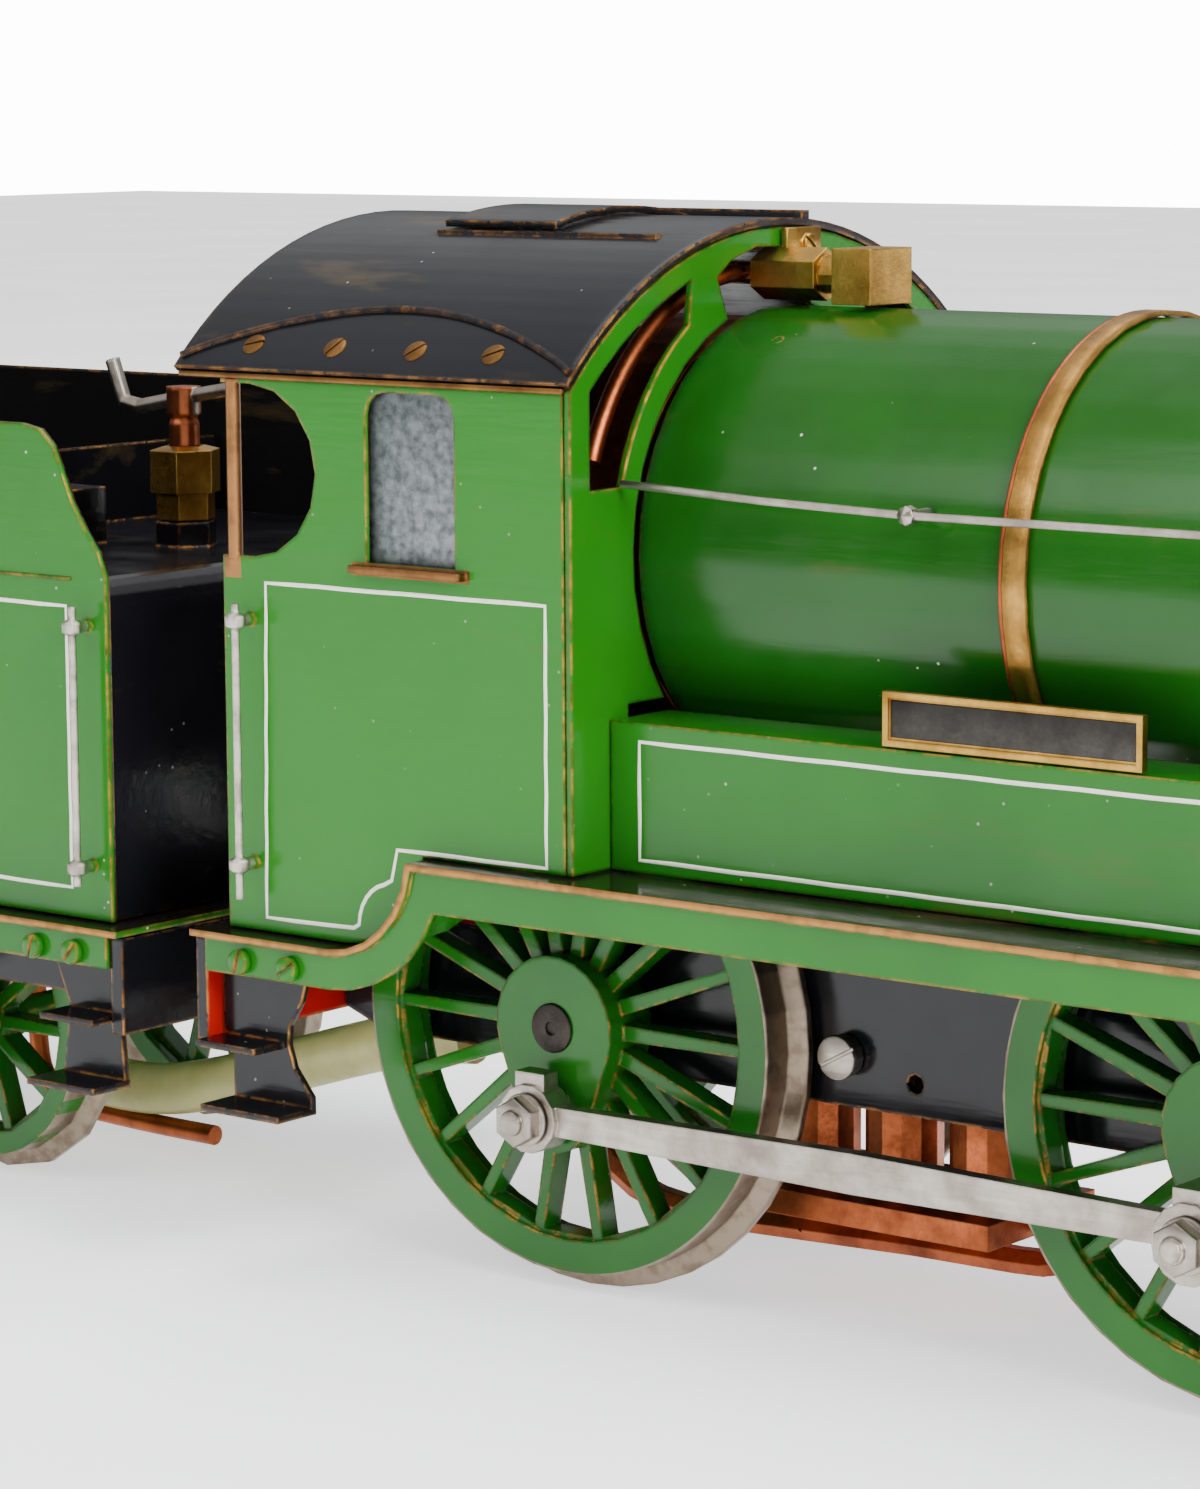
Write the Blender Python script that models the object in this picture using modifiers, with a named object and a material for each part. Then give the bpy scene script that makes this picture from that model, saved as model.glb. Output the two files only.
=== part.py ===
"""Spirit-fired model steam locomotive for 45 mm gauge track, with its six-wheeled tender.

The working axes: +X forward, +Y to the engine's left, +Z up. Sizes in this file are in
millimetres, measured along X from the rear driving axle and in Z from the rail top. The
place() function turns them into world metres, with the origin under the middle of the
engine and tender, at the lowest point of the wheel flanges.
"""
from math import asin, cos, pi, sin, sqrt

import bmesh
import bpy
from mathutils import Matrix, Vector

MM = 0.001
GAP = 0.3                  # running and fitting gap between neighbouring pieces
SHEET = 0.9                # thickness of the brass sheet
FLANGE = 2.5               # flange depth below the rail top

# Wheels
DRIVER_R = 33.5            # tread radius of the driving wheels
COUPLED_BASE = 102.8       # rear to leading driving axle
CRANK_R = 11.2             # crank throw
WHEEL_BACK = 20.5          # flange back to the centre line
WHEEL_FACE = 27.0          # rim face to the centre line
HUB_FACE = 29.1            # hub boss face to the centre line
SPOKES = 18
BOGIE_R = 18.0
BOGIE_BASE = 65.0
BOGIE_X = 201.0            # bogie pivot
TENDER_R = 20.5
TENDER_AXLES = (-111.0, -176.0, -241.0)

# Engine
FRAME_FACE = 19.3          # outer face of the main frames to the centre line
FRAME_T = 1.6
DRAG_X = -47.5             # rear face of the drag beam
BEAM_X = 262.0             # front face of the front buffer beam
PLATE_Z = 57.0             # running plate top over the driving wheels
LOW_Z = 44.2               # running plate top at the two ends
PLATE_HALF = 47.8          # running plate edge to the centre line
PLATE_IN = 31.0            # running plate inner edge to the centre line
DROP_R = 14.0              # radius of the curve between the two running plate levels
REAR_DROP_X = -23.0        # centre of the rear curve
FRONT_DROP_X = 240.0       # centre of the front curve
BOILER_Z = 96.7
BOILER_R = 30.5
BOILER_END = 186.0
SMOKEBOX_R = 31.6
SMOKEBOX_END = 228.0
CAB_FRONT = 15.5           # front face of the cab front plate
CAB_REAR = -43.8
CAB_HALF = 43.8            # outer face of the cab sides to the centre line
ROOF_Z = 77.7              # centre of the roof's arc
ROOF_R = 60.8
SPLASHER_Y = 36.3
SPLASHER_TOP = 76.4
SPLASHER_END = 146.0

# Tender
TENDER_FRONT = -61.5       # front face of the tender's front beam
TENDER_REAR = -283.0       # rear face of the tender's rear beam
SOLE_Z = 42.1              # tender running plate top
TANK_FRONT = -66.5
TANK_TOP = 89.2
SIDE_TOP = 110.3
BUFFER_LEN = 14.0
BUFFER_HALF = 28.5         # buffer centres to the centre line
BUFFER_Z = 35.0
DRAWBAR_X = -40.0          # drawbar pin, which the tender swings on

ORIGIN_X = -(BEAM_X + TENDER_REAR) / 2
ROUND = 40                 # facets round the boiler and smokebox
SHARP = 0.6                # corners over this angle, in radians, are drawn sharp


# ---------------------------------------------------------------- scene and materials

def clear_scene():
    for obj in list(bpy.data.objects):
        bpy.data.objects.remove(obj, do_unlink=True)


def new_collection(name):
    made = bpy.data.collections.new(name)
    bpy.context.scene.collection.children.link(made)
    return made


clear_scene()
PARTS = new_collection("model_locomotive_and_tender")
CUTTERS = new_collection("cutters")

FINISHES = {
    "green": ((0.070, 0.270, 0.050), 0.28, 0.0),
    "black": ((0.012, 0.012, 0.013), 0.25, 0.0),
    "steel": ((0.46, 0.43, 0.40), 0.34, 1.0),
    "iron": ((0.10, 0.09, 0.085), 0.45, 0.8),
    "brass": ((0.62, 0.43, 0.16), 0.32, 1.0),
    "copper": ((0.55, 0.22, 0.11), 0.38, 1.0),
    "hose": ((0.60, 0.58, 0.38), 0.30, 0.0),
}


def finish(name):
    """The Principled material of that name, made once."""
    found = bpy.data.materials.get(name)
    if found:
        return found
    colour, roughness, metallic = FINISHES[name]
    made = bpy.data.materials.new(name)
    made.use_nodes = True
    shader = made.node_tree.nodes["Principled BSDF"]
    shader.inputs["Base Color"].default_value = (*colour, 1.0)
    shader.inputs["Roughness"].default_value = roughness
    shader.inputs["Metallic"].default_value = metallic
    return made


# ---------------------------------------------------------------- modelling helpers

def place(x, y, z):
    """World position in metres of a point given in the file's millimetres."""
    return Vector(((x + ORIGIN_X) * MM, y * MM, (z + FLANGE) * MM))


def add_object(name, data, where, look=None):
    """Links an object: with a finish it is a part, without one it is a cutter or an operand."""
    obj = bpy.data.objects.new(name, data)
    obj.location = where
    if look is None:
        CUTTERS.objects.link(obj)
        obj.hide_render = True
        obj.display_type = 'WIRE'
    else:
        PARTS.objects.link(obj)
        obj.data.materials.append(finish(look))
    return obj


def mesh_from(bm, name):
    mesh = bpy.data.meshes.new(name)
    bm.to_mesh(mesh)
    bm.free()
    return mesh


def box(name, xs, ys, zs, look=None):
    """A box between pairs of X, Y and Z."""
    bm = bmesh.new()
    bmesh.ops.create_cube(bm, size=1.0)
    size = [abs(pair[1] - pair[0]) * MM for pair in (xs, ys, zs)]
    bmesh.ops.scale(bm, vec=size, verts=bm.verts)
    middle = place(sum(xs) / 2, sum(ys) / 2, sum(zs) / 2)
    return add_object(name, mesh_from(bm, name), middle, look)


AXIS_TURN = {"X": (0.0, pi / 2, 0.0), "Y": (-pi / 2, 0.0, 0.0), "Z": (0.0, 0.0, 0.0)}


def turned(name, profile, where, axis, look=None, steps=24):
    """A turned piece from (radius, height) points, listed down its outer side.

    A ring's profile ends at the point where it starts.
    """
    ring = profile[0] == profile[-1]
    bm = bmesh.new()
    points = [bm.verts.new((r * MM, 0.0, h * MM)) for r, h in (profile[:-1] if ring else profile)]
    if ring:
        points.append(points[0])
    for start, end in zip(points, points[1:]):
        bm.edges.new((start, end))
    obj = add_object(name, mesh_from(bm, name), where, look)
    obj.rotation_euler = AXIS_TURN[axis]
    screw = obj.modifiers.new("turn", 'SCREW')
    screw.steps = steps
    screw.render_steps = steps
    screw.use_merge_vertices = True
    screw.merge_threshold = 0.00001
    return obj


def rod(name, radius, start, end, axis, look=None, steps=16):
    """A plain round bar along an axis, between two points in place() metres."""
    length = (end - start).length / MM
    profile = [(0, length), (radius, length), (radius, 0), (0, 0)]
    return turned(name, profile, start, axis, look, steps)


def as_mesh(obj):
    """Makes a curve object a mesh with welded caps, in the same place and collection."""
    graph = bpy.context.evaluated_depsgraph_get()
    graph.update()
    mesh = bpy.data.meshes.new_from_object(obj.evaluated_get(graph))
    bm = bmesh.new()
    bm.from_mesh(mesh)
    bmesh.ops.remove_doubles(bm, verts=bm.verts, dist=0.000001)
    bmesh.ops.dissolve_limit(bm, angle_limit=0.002, verts=bm.verts, edges=bm.edges)
    bmesh.ops.recalc_face_normals(bm, faces=bm.faces)
    bm.to_mesh(mesh)
    bm.free()
    name = obj.name
    home = obj.users_collection[0]
    made = bpy.data.objects.new(name + "_mesh", mesh)
    made.matrix_world = obj.matrix_world
    made.hide_render = obj.hide_render
    made.display_type = obj.display_type
    home.objects.link(made)
    bpy.data.objects.remove(obj, do_unlink=True)
    made.name = name
    return made


PLATE_TURN = {
    "XZ": Matrix(((1, 0, 0), (0, 0, -1), (0, 1, 0))),
    "YZ": Matrix(((0, 0, 1), (1, 0, 0), (0, 1, 0))),
    "XY": Matrix.Identity(3),
}


def plate(name, outlines, plane, low, high, look=None):
    """A flat plate from one outline and its holes, lying in a plane between two offsets.

    Outlines are in absolute coordinates of the plane's two axes. The offsets are along the
    third axis: Y for plane XZ, X for YZ and Z for XY.
    """
    curve = bpy.data.curves.new(name, 'CURVE')
    curve.dimensions = '2D'
    curve.fill_mode = 'BOTH'
    curve.extrude = abs(high - low) / 2 * MM
    for outline in outlines:
        spline = curve.splines.new('POLY')
        spline.points.add(len(outline) - 1)
        for point, (u, v) in zip(spline.points, outline):
            point.co = (u * MM, v * MM, 0.0, 1.0)
        spline.use_cyclic_u = True
    middle = (low + high) / 2
    offset = {"XZ": (0, middle, 0), "YZ": (middle, 0, 0), "XY": (0, 0, middle)}[plane]
    obj = add_object(name, curve, place(*offset), look)
    obj.rotation_euler = PLATE_TURN[plane].to_euler()
    bpy.context.view_layer.update()
    return as_mesh(obj)


def tube(name, route, radius, look=None, sides=2):
    """A round wire or pipe along a list of points in the file's millimetres."""
    curve = bpy.data.curves.new(name, 'CURVE')
    curve.dimensions = '3D'
    curve.bevel_depth = radius * MM
    curve.bevel_resolution = sides
    curve.use_fill_caps = True
    spline = curve.splines.new('POLY')
    spline.points.add(len(route) - 1)
    for point, at in zip(spline.points, route):
        point.co = (*place(*at), 1.0)
    obj = add_object(name, curve, Vector((0, 0, 0)), look)
    bpy.context.view_layer.update()
    return as_mesh(obj)


def combine(obj, other, operation):
    """Adds a Boolean with another object, which then belongs with the cutters."""
    step = obj.modifiers.new(operation.lower(), 'BOOLEAN')
    step.operation = operation
    step.solver = 'EXACT'
    step.object = other


def join(obj, *others):
    for other in others:
        combine(obj, other, 'UNION')
    return obj


def cut(obj, *others):
    for other in others:
        combine(obj, other, 'DIFFERENCE')
    return obj


def arc(centre, radius, start, end, count):
    """Points on an arc, in degrees, both ends included."""
    found = []
    for i in range(count):
        turn = (start + (end - start) * i / (count - 1)) * pi / 180
        found.append((centre[0] + radius * cos(turn), centre[1] + radius * sin(turn)))
    return found


def smooth(points, per_span):
    """A Catmull-Rom curve through points, with so many steps in each span."""
    ends = [points[0]] + list(points) + [points[-1]]
    found = []
    for i in range(len(points) - 1):
        a, b, c, d = (Vector(p) for p in ends[i:i + 4])
        for k in range(per_span):
            t = k / per_span
            found.append(tuple(0.5 * (2 * b + (c - a) * t + (2 * a - 5 * b + 4 * c - d) * t * t
                                      + (3 * b - a - 3 * c + d) * t ** 3)))
    found.append(tuple(points[-1]))
    return found


def hexagon(name, across_flats, start, length, axis, look=None):
    """A hexagonal bar of given width across flats, along an axis from a point."""
    radius = across_flats / sqrt(3)
    profile = [(0, length), (radius, length), (radius, 0), (0, 0)]
    return turned(name, profile, start, axis, look, steps=6)


# ---------------------------------------------------------------- wheels and rods

def egg(throw, crank_angle, big, small):
    """Outline round the axle and the crank pin, in X and Z about the axle."""
    lean = asin((big - small) / throw) * 180 / pi
    outline = arc((0, 0), big, crank_angle + 90 - lean, crank_angle + 270 + lean, 16)
    pin = (throw * cos(crank_angle * pi / 180), throw * sin(crank_angle * pi / 180))
    outline += arc(pin, small, crank_angle - 90 + lean, crank_angle + 90 - lean, 8)
    return outline


def spoked_web(name, centre, radii, count, first_angle, widths, faces):
    """Hub, tapering spokes and inner rim: a disc with a four-cornered hole between spokes."""
    hub, inner, outer = radii
    holes = []
    for i in range(count):
        corners = []
        for radius, width, order in ((hub, widths[0], (0, 1)), (inner, widths[1], (1, 0))):
            for step in order:
                turn = first_angle * pi / 180 + 2 * pi * (i + step) / count
                offset = width / 2 * (1 - 2 * step)
                corners.append((centre[0] + radius * cos(turn) - offset * sin(turn),
                                centre[1] + radius * sin(turn) + offset * cos(turn)))
        holes.append(corners)
    disc = arc(centre, outer, first_angle, first_angle + 360 - 360 / count, count)
    return plate(name, [disc] + holes, "XZ", faces[0], faces[1])


def rim_profile(radius, rim):
    """Tyre, flange and rim of a wheel, as a closed profile along +Y for the left side."""
    back = WHEEL_BACK
    return [(radius, WHEEL_FACE), (radius, back + 1.9), (radius + FLANGE, back + 1.1),
            (radius + FLANGE, back), (radius - rim, back), (radius - rim, WHEEL_FACE),
            (radius, WHEEL_FACE)]


def flip_to(side, obj):
    """Turns a piece made for the left side (+Y) half round about its own vertical for the right."""
    if side < 0:
        obj.rotation_euler.rotate(Matrix.Rotation(pi, 3, 'Z'))
    return obj


def driving_wheel(name, axle_x, side, crank_angle, pin_tip, rod_from, rod_to):
    """A spoked driving wheel with its crank boss, pin and nut, in one piece."""
    axle = place(axle_x, 0, DRIVER_R)
    wheel = flip_to(side, turned(name, rim_profile(DRIVER_R, 4.6), axle, 'Y', "green", steps=40))
    parts = []
    hub_back = WHEEL_BACK - 0.2
    crank = crank_angle * pi / 180
    shift = [(axle_x + x, DRIVER_R + z) for x, z in egg(CRANK_R, crank_angle, 9.6, 5.6)]
    lows = (side * hub_back, side * HUB_FACE)
    parts.append(plate(name + "_boss", [shift], "XZ", min(lows), max(lows)))
    faces = sorted((side * (WHEEL_BACK + 2.2), side * (WHEEL_FACE - 0.8)))
    parts.append(spoked_web(name + "_spokes", (axle_x, DRIVER_R), (8.4, DRIVER_R - 5.0, DRIVER_R - 2),
                            SPOKES, crank_angle + 180.0 / SPOKES, (2.1, 1.6), faces))
    pin_x = axle_x + CRANK_R * cos(crank)
    pin_z = DRIVER_R + CRANK_R * sin(crank)
    pin = place(pin_x, side * (HUB_FACE - 1), pin_z)
    tip = pin_tip - HUB_FACE + 1
    nut = rod_to - HUB_FACE + 1 + GAP
    seat = rod_from - HUB_FACE + 1 - GAP
    profile = [(0, tip), (1.5, tip), (1.5, nut + 2.2), (2.9, nut + 2.2), (2.9, nut), (2.0, nut),
               (2.0, seat), (3.4, seat), (3.4, 0), (0, 0)]
    parts.append(flip_to(side, turned(name + "_pin", profile, pin, 'Y', steps=8)))
    join(wheel, *parts)
    bore = (side * (WHEEL_BACK - 2), side * (HUB_FACE + 2))
    hole = rod(name + "_bore", 3.0, place(axle_x, min(bore), DRIVER_R),
               place(axle_x, max(bore), DRIVER_R), 'Y', steps=12)
    return cut(wheel, hole)


def driving_axle(name, axle_x, eccentric):
    """Axle through both wheels, with the eccentric sheave that works the feed pump."""
    end = HUB_FACE - 0.1
    axle = rod(name, 2.6, place(axle_x, -end, DRIVER_R), place(axle_x, end, DRIVER_R),
               'Y', "iron", steps=12)
    if eccentric:
        sheave = turned(name + "_sheave", [(0, 3), (8.0, 3), (8.0, 0), (0, 0)],
                        place(axle_x - 2.5, -12, DRIVER_R - 2.0), 'Y', steps=16)
        join(axle, sheave)
    return axle


def coupling_rod(name, side, crank_angle, lead_wide):
    """Fish-bellied coupling rod between the two crank pins on one side."""
    crank = crank_angle * pi / 180
    x0 = CRANK_R * cos(crank)
    z0 = DRIVER_R + CRANK_R * sin(crank)
    x1 = x0 + COUPLED_BASE
    blade = [(x0, z0 - 1.9), (x0 + COUPLED_BASE / 2, z0 - 2.6), (x1, z0 - 1.9),
             (x1, z0 + 1.9), (x0 + COUPLED_BASE / 2, z0 + 2.6), (x0, z0 + 1.9)]
    lows = (side * 31.6, side * 33.8)
    obj = plate(name, [blade], "XZ", min(lows), max(lows), "steel")
    for label, x, radius, outer in (("rear", x0, 4.6, 34.6), ("lead", x1, 5.0, lead_wide)):
        inner = 30.6
        start = place(x, min(side * inner, side * outer), z0)
        stop = place(x, max(side * inner, side * outer), z0)
        boss = rod(f"{name}_{label}_boss", radius, start, stop, 'Y', steps=14)
        lug_y = (min(side * (inner + 0.4), side * (outer - 0.6)),
                 max(side * (inner + 0.4), side * (outer - 0.6)))
        lug = box(f"{name}_{label}_oil_box", (x - 2.4, x + 2.4), lug_y, (z0, z0 + radius + 1.5))
        join(obj, boss, lug)
    for label, x in (("rear", x0), ("lead", x1)):
        start = place(x, min(side * 28, side * 42), z0)
        stop = place(x, max(side * 28, side * 42), z0)
        cut(obj, rod(f"{name}_{label}_bore", 2.4, start, stop, 'Y', steps=12))
    return obj


def small_wheelset(name, axle_x, radius, axle_end, spokes):
    """A carrying wheelset: two spoked wheels on their axle, as one piece."""
    axle = rod(name, 2.0, place(axle_x, -axle_end, radius), place(axle_x, axle_end, radius),
               'Y', "green", steps=6)
    hub_end = WHEEL_FACE + 1.2
    for side, label in ((-1, "right"), (1, "left")):
        at = place(axle_x, 0, radius)
        rim = flip_to(side, turned(f"{name}_{label}_rim", rim_profile(radius, 3.4), at, 'Y',
                                   steps=16))
        ends = sorted((side * (WHEEL_BACK - 0.2), side * hub_end))
        hub = rod(f"{name}_{label}_hub", 4.1, place(axle_x, ends[0], radius),
                  place(axle_x, ends[1], radius), 'Y', steps=8)
        faces = sorted((side * (WHEEL_BACK + 2.2), side * (WHEEL_FACE - 0.8)))
        web = spoked_web(f"{name}_{label}_spokes", (axle_x, radius), (4.8, radius - 3.8, radius - 1.4),
                         spokes, 0, (2.1, 1.6), faces)
        join(axle, rim, hub, web)
    return axle


def wheels_and_rods():
    """The coupled wheels: the right cranks are at the bottom, the left ones lead by 90 degrees."""
    axles = (("rear", 0.0, True, 34.6, 38.1), ("lead", COUPLED_BASE, False, 38.6, 42.4))
    for label, x, eccentric, rod_to, tip in axles:
        for side, name, angle in ((-1, "right", 270.0), (1, "left", 0.0)):
            driving_wheel(f"{label}_driving_wheel_{name}", x, side, angle, tip, 30.6, rod_to)
        driving_axle(f"{label}_driving_axle", x, eccentric)
    coupling_rod("coupling_rod_right", -1, 270.0, 38.6)
    coupling_rod("coupling_rod_left", 1, 0.0, 38.6)


# ---------------------------------------------------------------- engine frames

def main_frame(name, side):
    """One main frame plate, cut away for the axles, the stay and the bogie."""
    outline = [(DRAG_X + 2.2, LOW_Z - SHEET - GAP), (DRAG_X + 2.2, 29.5), (-38.0, 26.8),
               (139.0, 26.8), (148.0, 41.5), (BEAM_X - 2.4, 41.5),
               (BEAM_X - 2.4, LOW_Z - SHEET - GAP), (226.0, LOW_Z - SHEET - GAP),
               (226.0, PLATE_Z - SHEET - GAP), (-8.0, PLATE_Z - SHEET - GAP),
               (-8.0, LOW_Z - SHEET - GAP)]
    holes = [arc((x, DRIVER_R), 3.2, 0, 337.5, 16) for x in (0, COUPLED_BASE)]
    holes.append(arc((40.4, DRIVER_R), 1.9, 0, 330, 12))
    holes.append(arc((51.0, 31.0), 1.3, 0, 315, 8))
    faces = sorted((side * (FRAME_FACE - FRAME_T), side * FRAME_FACE))
    plate(name, [outline] + holes, "XZ", faces[0], faces[1], "black")


def frame_spacer():
    """Round stay between the frames with a screw head at each end."""
    inner = FRAME_FACE - FRAME_T - GAP
    head = FRAME_FACE + GAP
    half = [(2.8, head + 1.5), (2.8, head), (1.5, head), (1.5, inner), (2.6, inner)]
    profile = [(0, head + 1.5)] + half
    profile += [(r, -h) for r, h in reversed(half)] + [(0, -head - 1.5)]
    turned("frame_spacer", profile, place(40.4, 0, DRIVER_R), 'Y', "iron", steps=12)


def drag_beam():
    """Rear beam with the drawbar's slot, and the pin that hangs into the drawbar's eye."""
    beam = box("drag_beam", (DRAG_X, DRAG_X + 1.9), (-46.5, 46.5), (29.0, LOW_Z - SHEET - GAP),
               "black")
    cut(beam, box("drag_beam_slot", (DRAG_X - 2, DRAG_X + 4), (-9, 9), (32.4, 37.6)))
    bracket = box("drawbar_bracket", (DRAG_X + 1.5, DRAWBAR_X + 3.4), (-5, 5), (38.5, 40.2))
    pin = rod("drawbar_pin", 1.6, place(DRAWBAR_X, 0, 33.0), place(DRAWBAR_X, 0, 39.2), 'Z', steps=10)
    join(beam, bracket, pin)


def buffer_profile():
    """A buffer stock, shank and head, outward from its beam."""
    return [(0, BUFFER_LEN), (5.5, BUFFER_LEN - 0.2), (7.0, BUFFER_LEN - 1.0),
            (7.0, BUFFER_LEN - 2.0), (2.4, BUFFER_LEN - 2.6), (2.4, 8.0), (3.4, 8.0), (4.6, -0.5),
            (0, -0.5)]


def buffer_beam(name, face_x, direction, top):
    """A beam with its two buffers and the coupling hook; direction is +1 at the front."""
    xs = sorted((face_x, face_x - direction * 2.2))
    beam = box(name, xs, (-46.5, 46.5), (27.0, top), "black")
    for side in (-1, 1):
        buffer = turned(f"{name}_buffer_{side}", buffer_profile(),
                        place(face_x, side * BUFFER_HALF, BUFFER_Z), 'X', steps=12)
        if direction < 0:
            buffer.rotation_euler.rotate(Matrix.Rotation(pi, 3, 'Z'))
        join(beam, buffer)
    hook = [(0, 1.6), (6.5, 1.6), (9.5, 4.2), (11.2, 2.4), (10.6, -1.6), (7.5, -3.4), (0, -2.4)]
    outline = [(face_x + direction * (x - 0.6), BUFFER_Z + z) for x, z in hook]
    join(beam, plate(name + "_hook", [outline], "XZ", -1.2, 1.2))
    return beam


def drop_points(radius, top_z, start_x):
    """Quarter-round drop of the running plate, from the low level up to where it meets top_z."""
    centre = (start_x, LOW_Z + DROP_R)
    turn = asin((top_z - centre[1]) / radius) * 180 / pi
    return arc(centre, radius, 270, 360 + turn, 7)


def mirrored(points):
    """The same outline at the front end, where the running plate comes down again."""
    return [(FRONT_DROP_X + REAR_DROP_X - x, z) for x, z in reversed(points)]


def running_plate(name, side):
    """Running plate and its valance on one side, bent from strip and soldered."""
    ends = (DRAG_X, BEAM_X)
    upper = drop_points(DROP_R, PLATE_Z, REAR_DROP_X)
    lower = drop_points(DROP_R + SHEET, PLATE_Z - SHEET, REAR_DROP_X)
    top = [(ends[0], LOW_Z)] + upper + mirrored(upper) + [(ends[1], LOW_Z)]
    under = [(ends[0], LOW_Z - SHEET)] + lower + mirrored(lower) + [(ends[1], LOW_Z - SHEET)]
    faces = sorted((side * PLATE_IN, side * PLATE_HALF))
    sheet = plate(name, [top + under[::-1]], "XZ", faces[0], faces[1], "green")
    hem = drop_points(DROP_R + 5.5, PLATE_Z - 6.3, REAR_DROP_X)
    inside = (DRAG_X + 2.2, BEAM_X - 2.5)
    low = LOW_Z - 5.5
    edge = [(inside[0], low)] + hem + mirrored(hem) + [(inside[1], low)]
    middle = DROP_R + SHEET / 2
    bond = drop_points(middle, PLATE_Z - SHEET / 2, REAR_DROP_X)
    bond = [(inside[0], LOW_Z - SHEET / 2)] + bond + mirrored(bond)
    bond.append((inside[1], LOW_Z - SHEET / 2))
    faces = sorted((side * (PLATE_HALF - 1.6), side * (PLATE_HALF - 0.7)))
    join(sheet, plate(name + "_valance", [bond + edge[::-1]], "XZ", faces[0], faces[1]))


def bogie():
    """Inside-framed bogie on a pin under the saddle, and its two wheelsets."""
    frame = box("bogie_frame", (BOGIE_X - 9, BOGIE_X + 9), (-15, 15), (22, 25), "black")
    for side, label in ((-1, "right"), (1, "left")):
        outline = [(-43, 24), (-43, 14), (-24, 10.5), (24, 10.5), (43, 14), (43, 24), (24, 27.5),
                   (-24, 27.5)]
        shape = [(BOGIE_X + x, z) for x, z in outline]
        holes = [arc((BOGIE_X + x, BOGIE_R), 2.6, 0, 330, 12) for x in (-BOGIE_BASE / 2, BOGIE_BASE / 2)]
        faces = sorted((side * 14.6, side * 16.2))
        join(frame, plate(f"bogie_frame_{label}", [shape] + holes, "XZ", faces[0], faces[1]))
    cut(frame, rod("bogie_pin_hole", 2.7, place(BOGIE_X, 0, 18), place(BOGIE_X, 0, 30), 'Z'))
    for label, x in (("rear", -BOGIE_BASE / 2), ("front", BOGIE_BASE / 2)):
        small_wheelset(f"bogie_wheelset_{label}", BOGIE_X + x, BOGIE_R, WHEEL_FACE + 1.6, 8)


def cylinder_saddle():
    """Casting between the frames: inside cylinders, smokebox saddle and the bogie pin."""
    half = FRAME_FACE - FRAME_T - GAP
    block = box("cylinder_saddle", (158, 226), (-half, half), (42.5, PLATE_Z), "black")
    saddle = box("saddle_top", (190, 225), (-16, 16), (56, 76))
    pin = turned("bogie_pin", [(0, 44), (6, 44), (6, 25.3), (2.3, 25.3), (2.3, 20.5), (4.4, 20.5),
                               (4.4, 18.5), (0, 18.5)], place(BOGIE_X, 0, 0), 'Z', steps=16)
    join(block, saddle, pin)
    room = rod("saddle_seat", SMOKEBOX_R + GAP, place(180, 0, BOILER_Z), place(235, 0, BOILER_Z),
               'X', steps=ROUND)
    cut(block, room)


# ---------------------------------------------------------------- boiler and fittings

def boiler():
    """Outer boiler shell, its copper end in the cab, and the polished rear band."""
    inner = BOILER_R - 2.0
    length = BOILER_END - CAB_FRONT - 0.4
    profile = [(0, length), (BOILER_R, length), (BOILER_R, 0), (inner, 0), (inner, length - 1.2),
               (0, length - 1.2)]
    turned("boiler_barrel", profile, place(CAB_FRONT + 0.4, 0, BOILER_Z), 'X', "green", steps=ROUND)
    cup = BOILER_R - 1.6
    profile = [(cup, 14.6), (cup, 0), (0, 0), (0, 1.2), (cup - 1.2, 1.2), (cup - 1.2, 14.6),
               (cup, 14.6)]
    turned("boiler_backhead", profile, place(-1, 0, BOILER_Z), 'X', "copper", steps=ROUND)
    band = [(BOILER_R + 0.9, 3.2), (BOILER_R + 0.9, 0), (BOILER_R + GAP, 0), (BOILER_R + GAP, 3.2),
            (BOILER_R + 0.9, 3.2)]
    turned("boiler_band", band, place(71.6, 0, BOILER_Z), 'X', "brass", steps=ROUND)


def smokebox():
    """Smokebox shell, open at the front where its door closes on the ring."""
    length = SMOKEBOX_END - BOILER_END - GAP
    inner = SMOKEBOX_R - 1.4
    profile = [(26.0, length), (SMOKEBOX_R, length), (SMOKEBOX_R, 0), (0, 0), (0, 1.4),
               (inner, 1.4), (inner, length - 1.2), (26.0, length - 1.2), (26.0, length)]
    shell = turned("smokebox", profile, place(BOILER_END + GAP, 0, BOILER_Z), 'X', "black", steps=ROUND)
    eye = box("door_eye", (SMOKEBOX_END - 2, SMOKEBOX_END + 2.2), (28.4, 31.0),
              (BOILER_Z - 3, BOILER_Z + 3))
    join(shell, eye)


def smokebox_door():
    """Dished door with its hinge strap and the closing dart, hung on the left."""
    door = turned("smokebox_door", [(0, 4.4), (14, 3.4), (23, 1.9), (26.6, 0.9),
                                    (26.6, 0), (0, 0)],
                  place(SMOKEBOX_END + GAP, 0, BOILER_Z), 'X', "black", steps=ROUND)
    strap = box("door_strap", (SMOKEBOX_END + 0.6, SMOKEBOX_END + 3.0), (12, 28.0),
                (BOILER_Z - 2.0, BOILER_Z + 2.0))
    dart = turned("door_dart", [(0, 6.5), (1.4, 6.5), (1.4, 0), (0, 0)],
                  place(SMOKEBOX_END + 3.6, 0, BOILER_Z), 'X', steps=12)
    handle = box("door_handle", (SMOKEBOX_END + 8.0, SMOKEBOX_END + 9.4), (-0.8, 0.8),
                 (BOILER_Z - 9, BOILER_Z + 1.5))
    join(door, strap, dart, handle)


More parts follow.
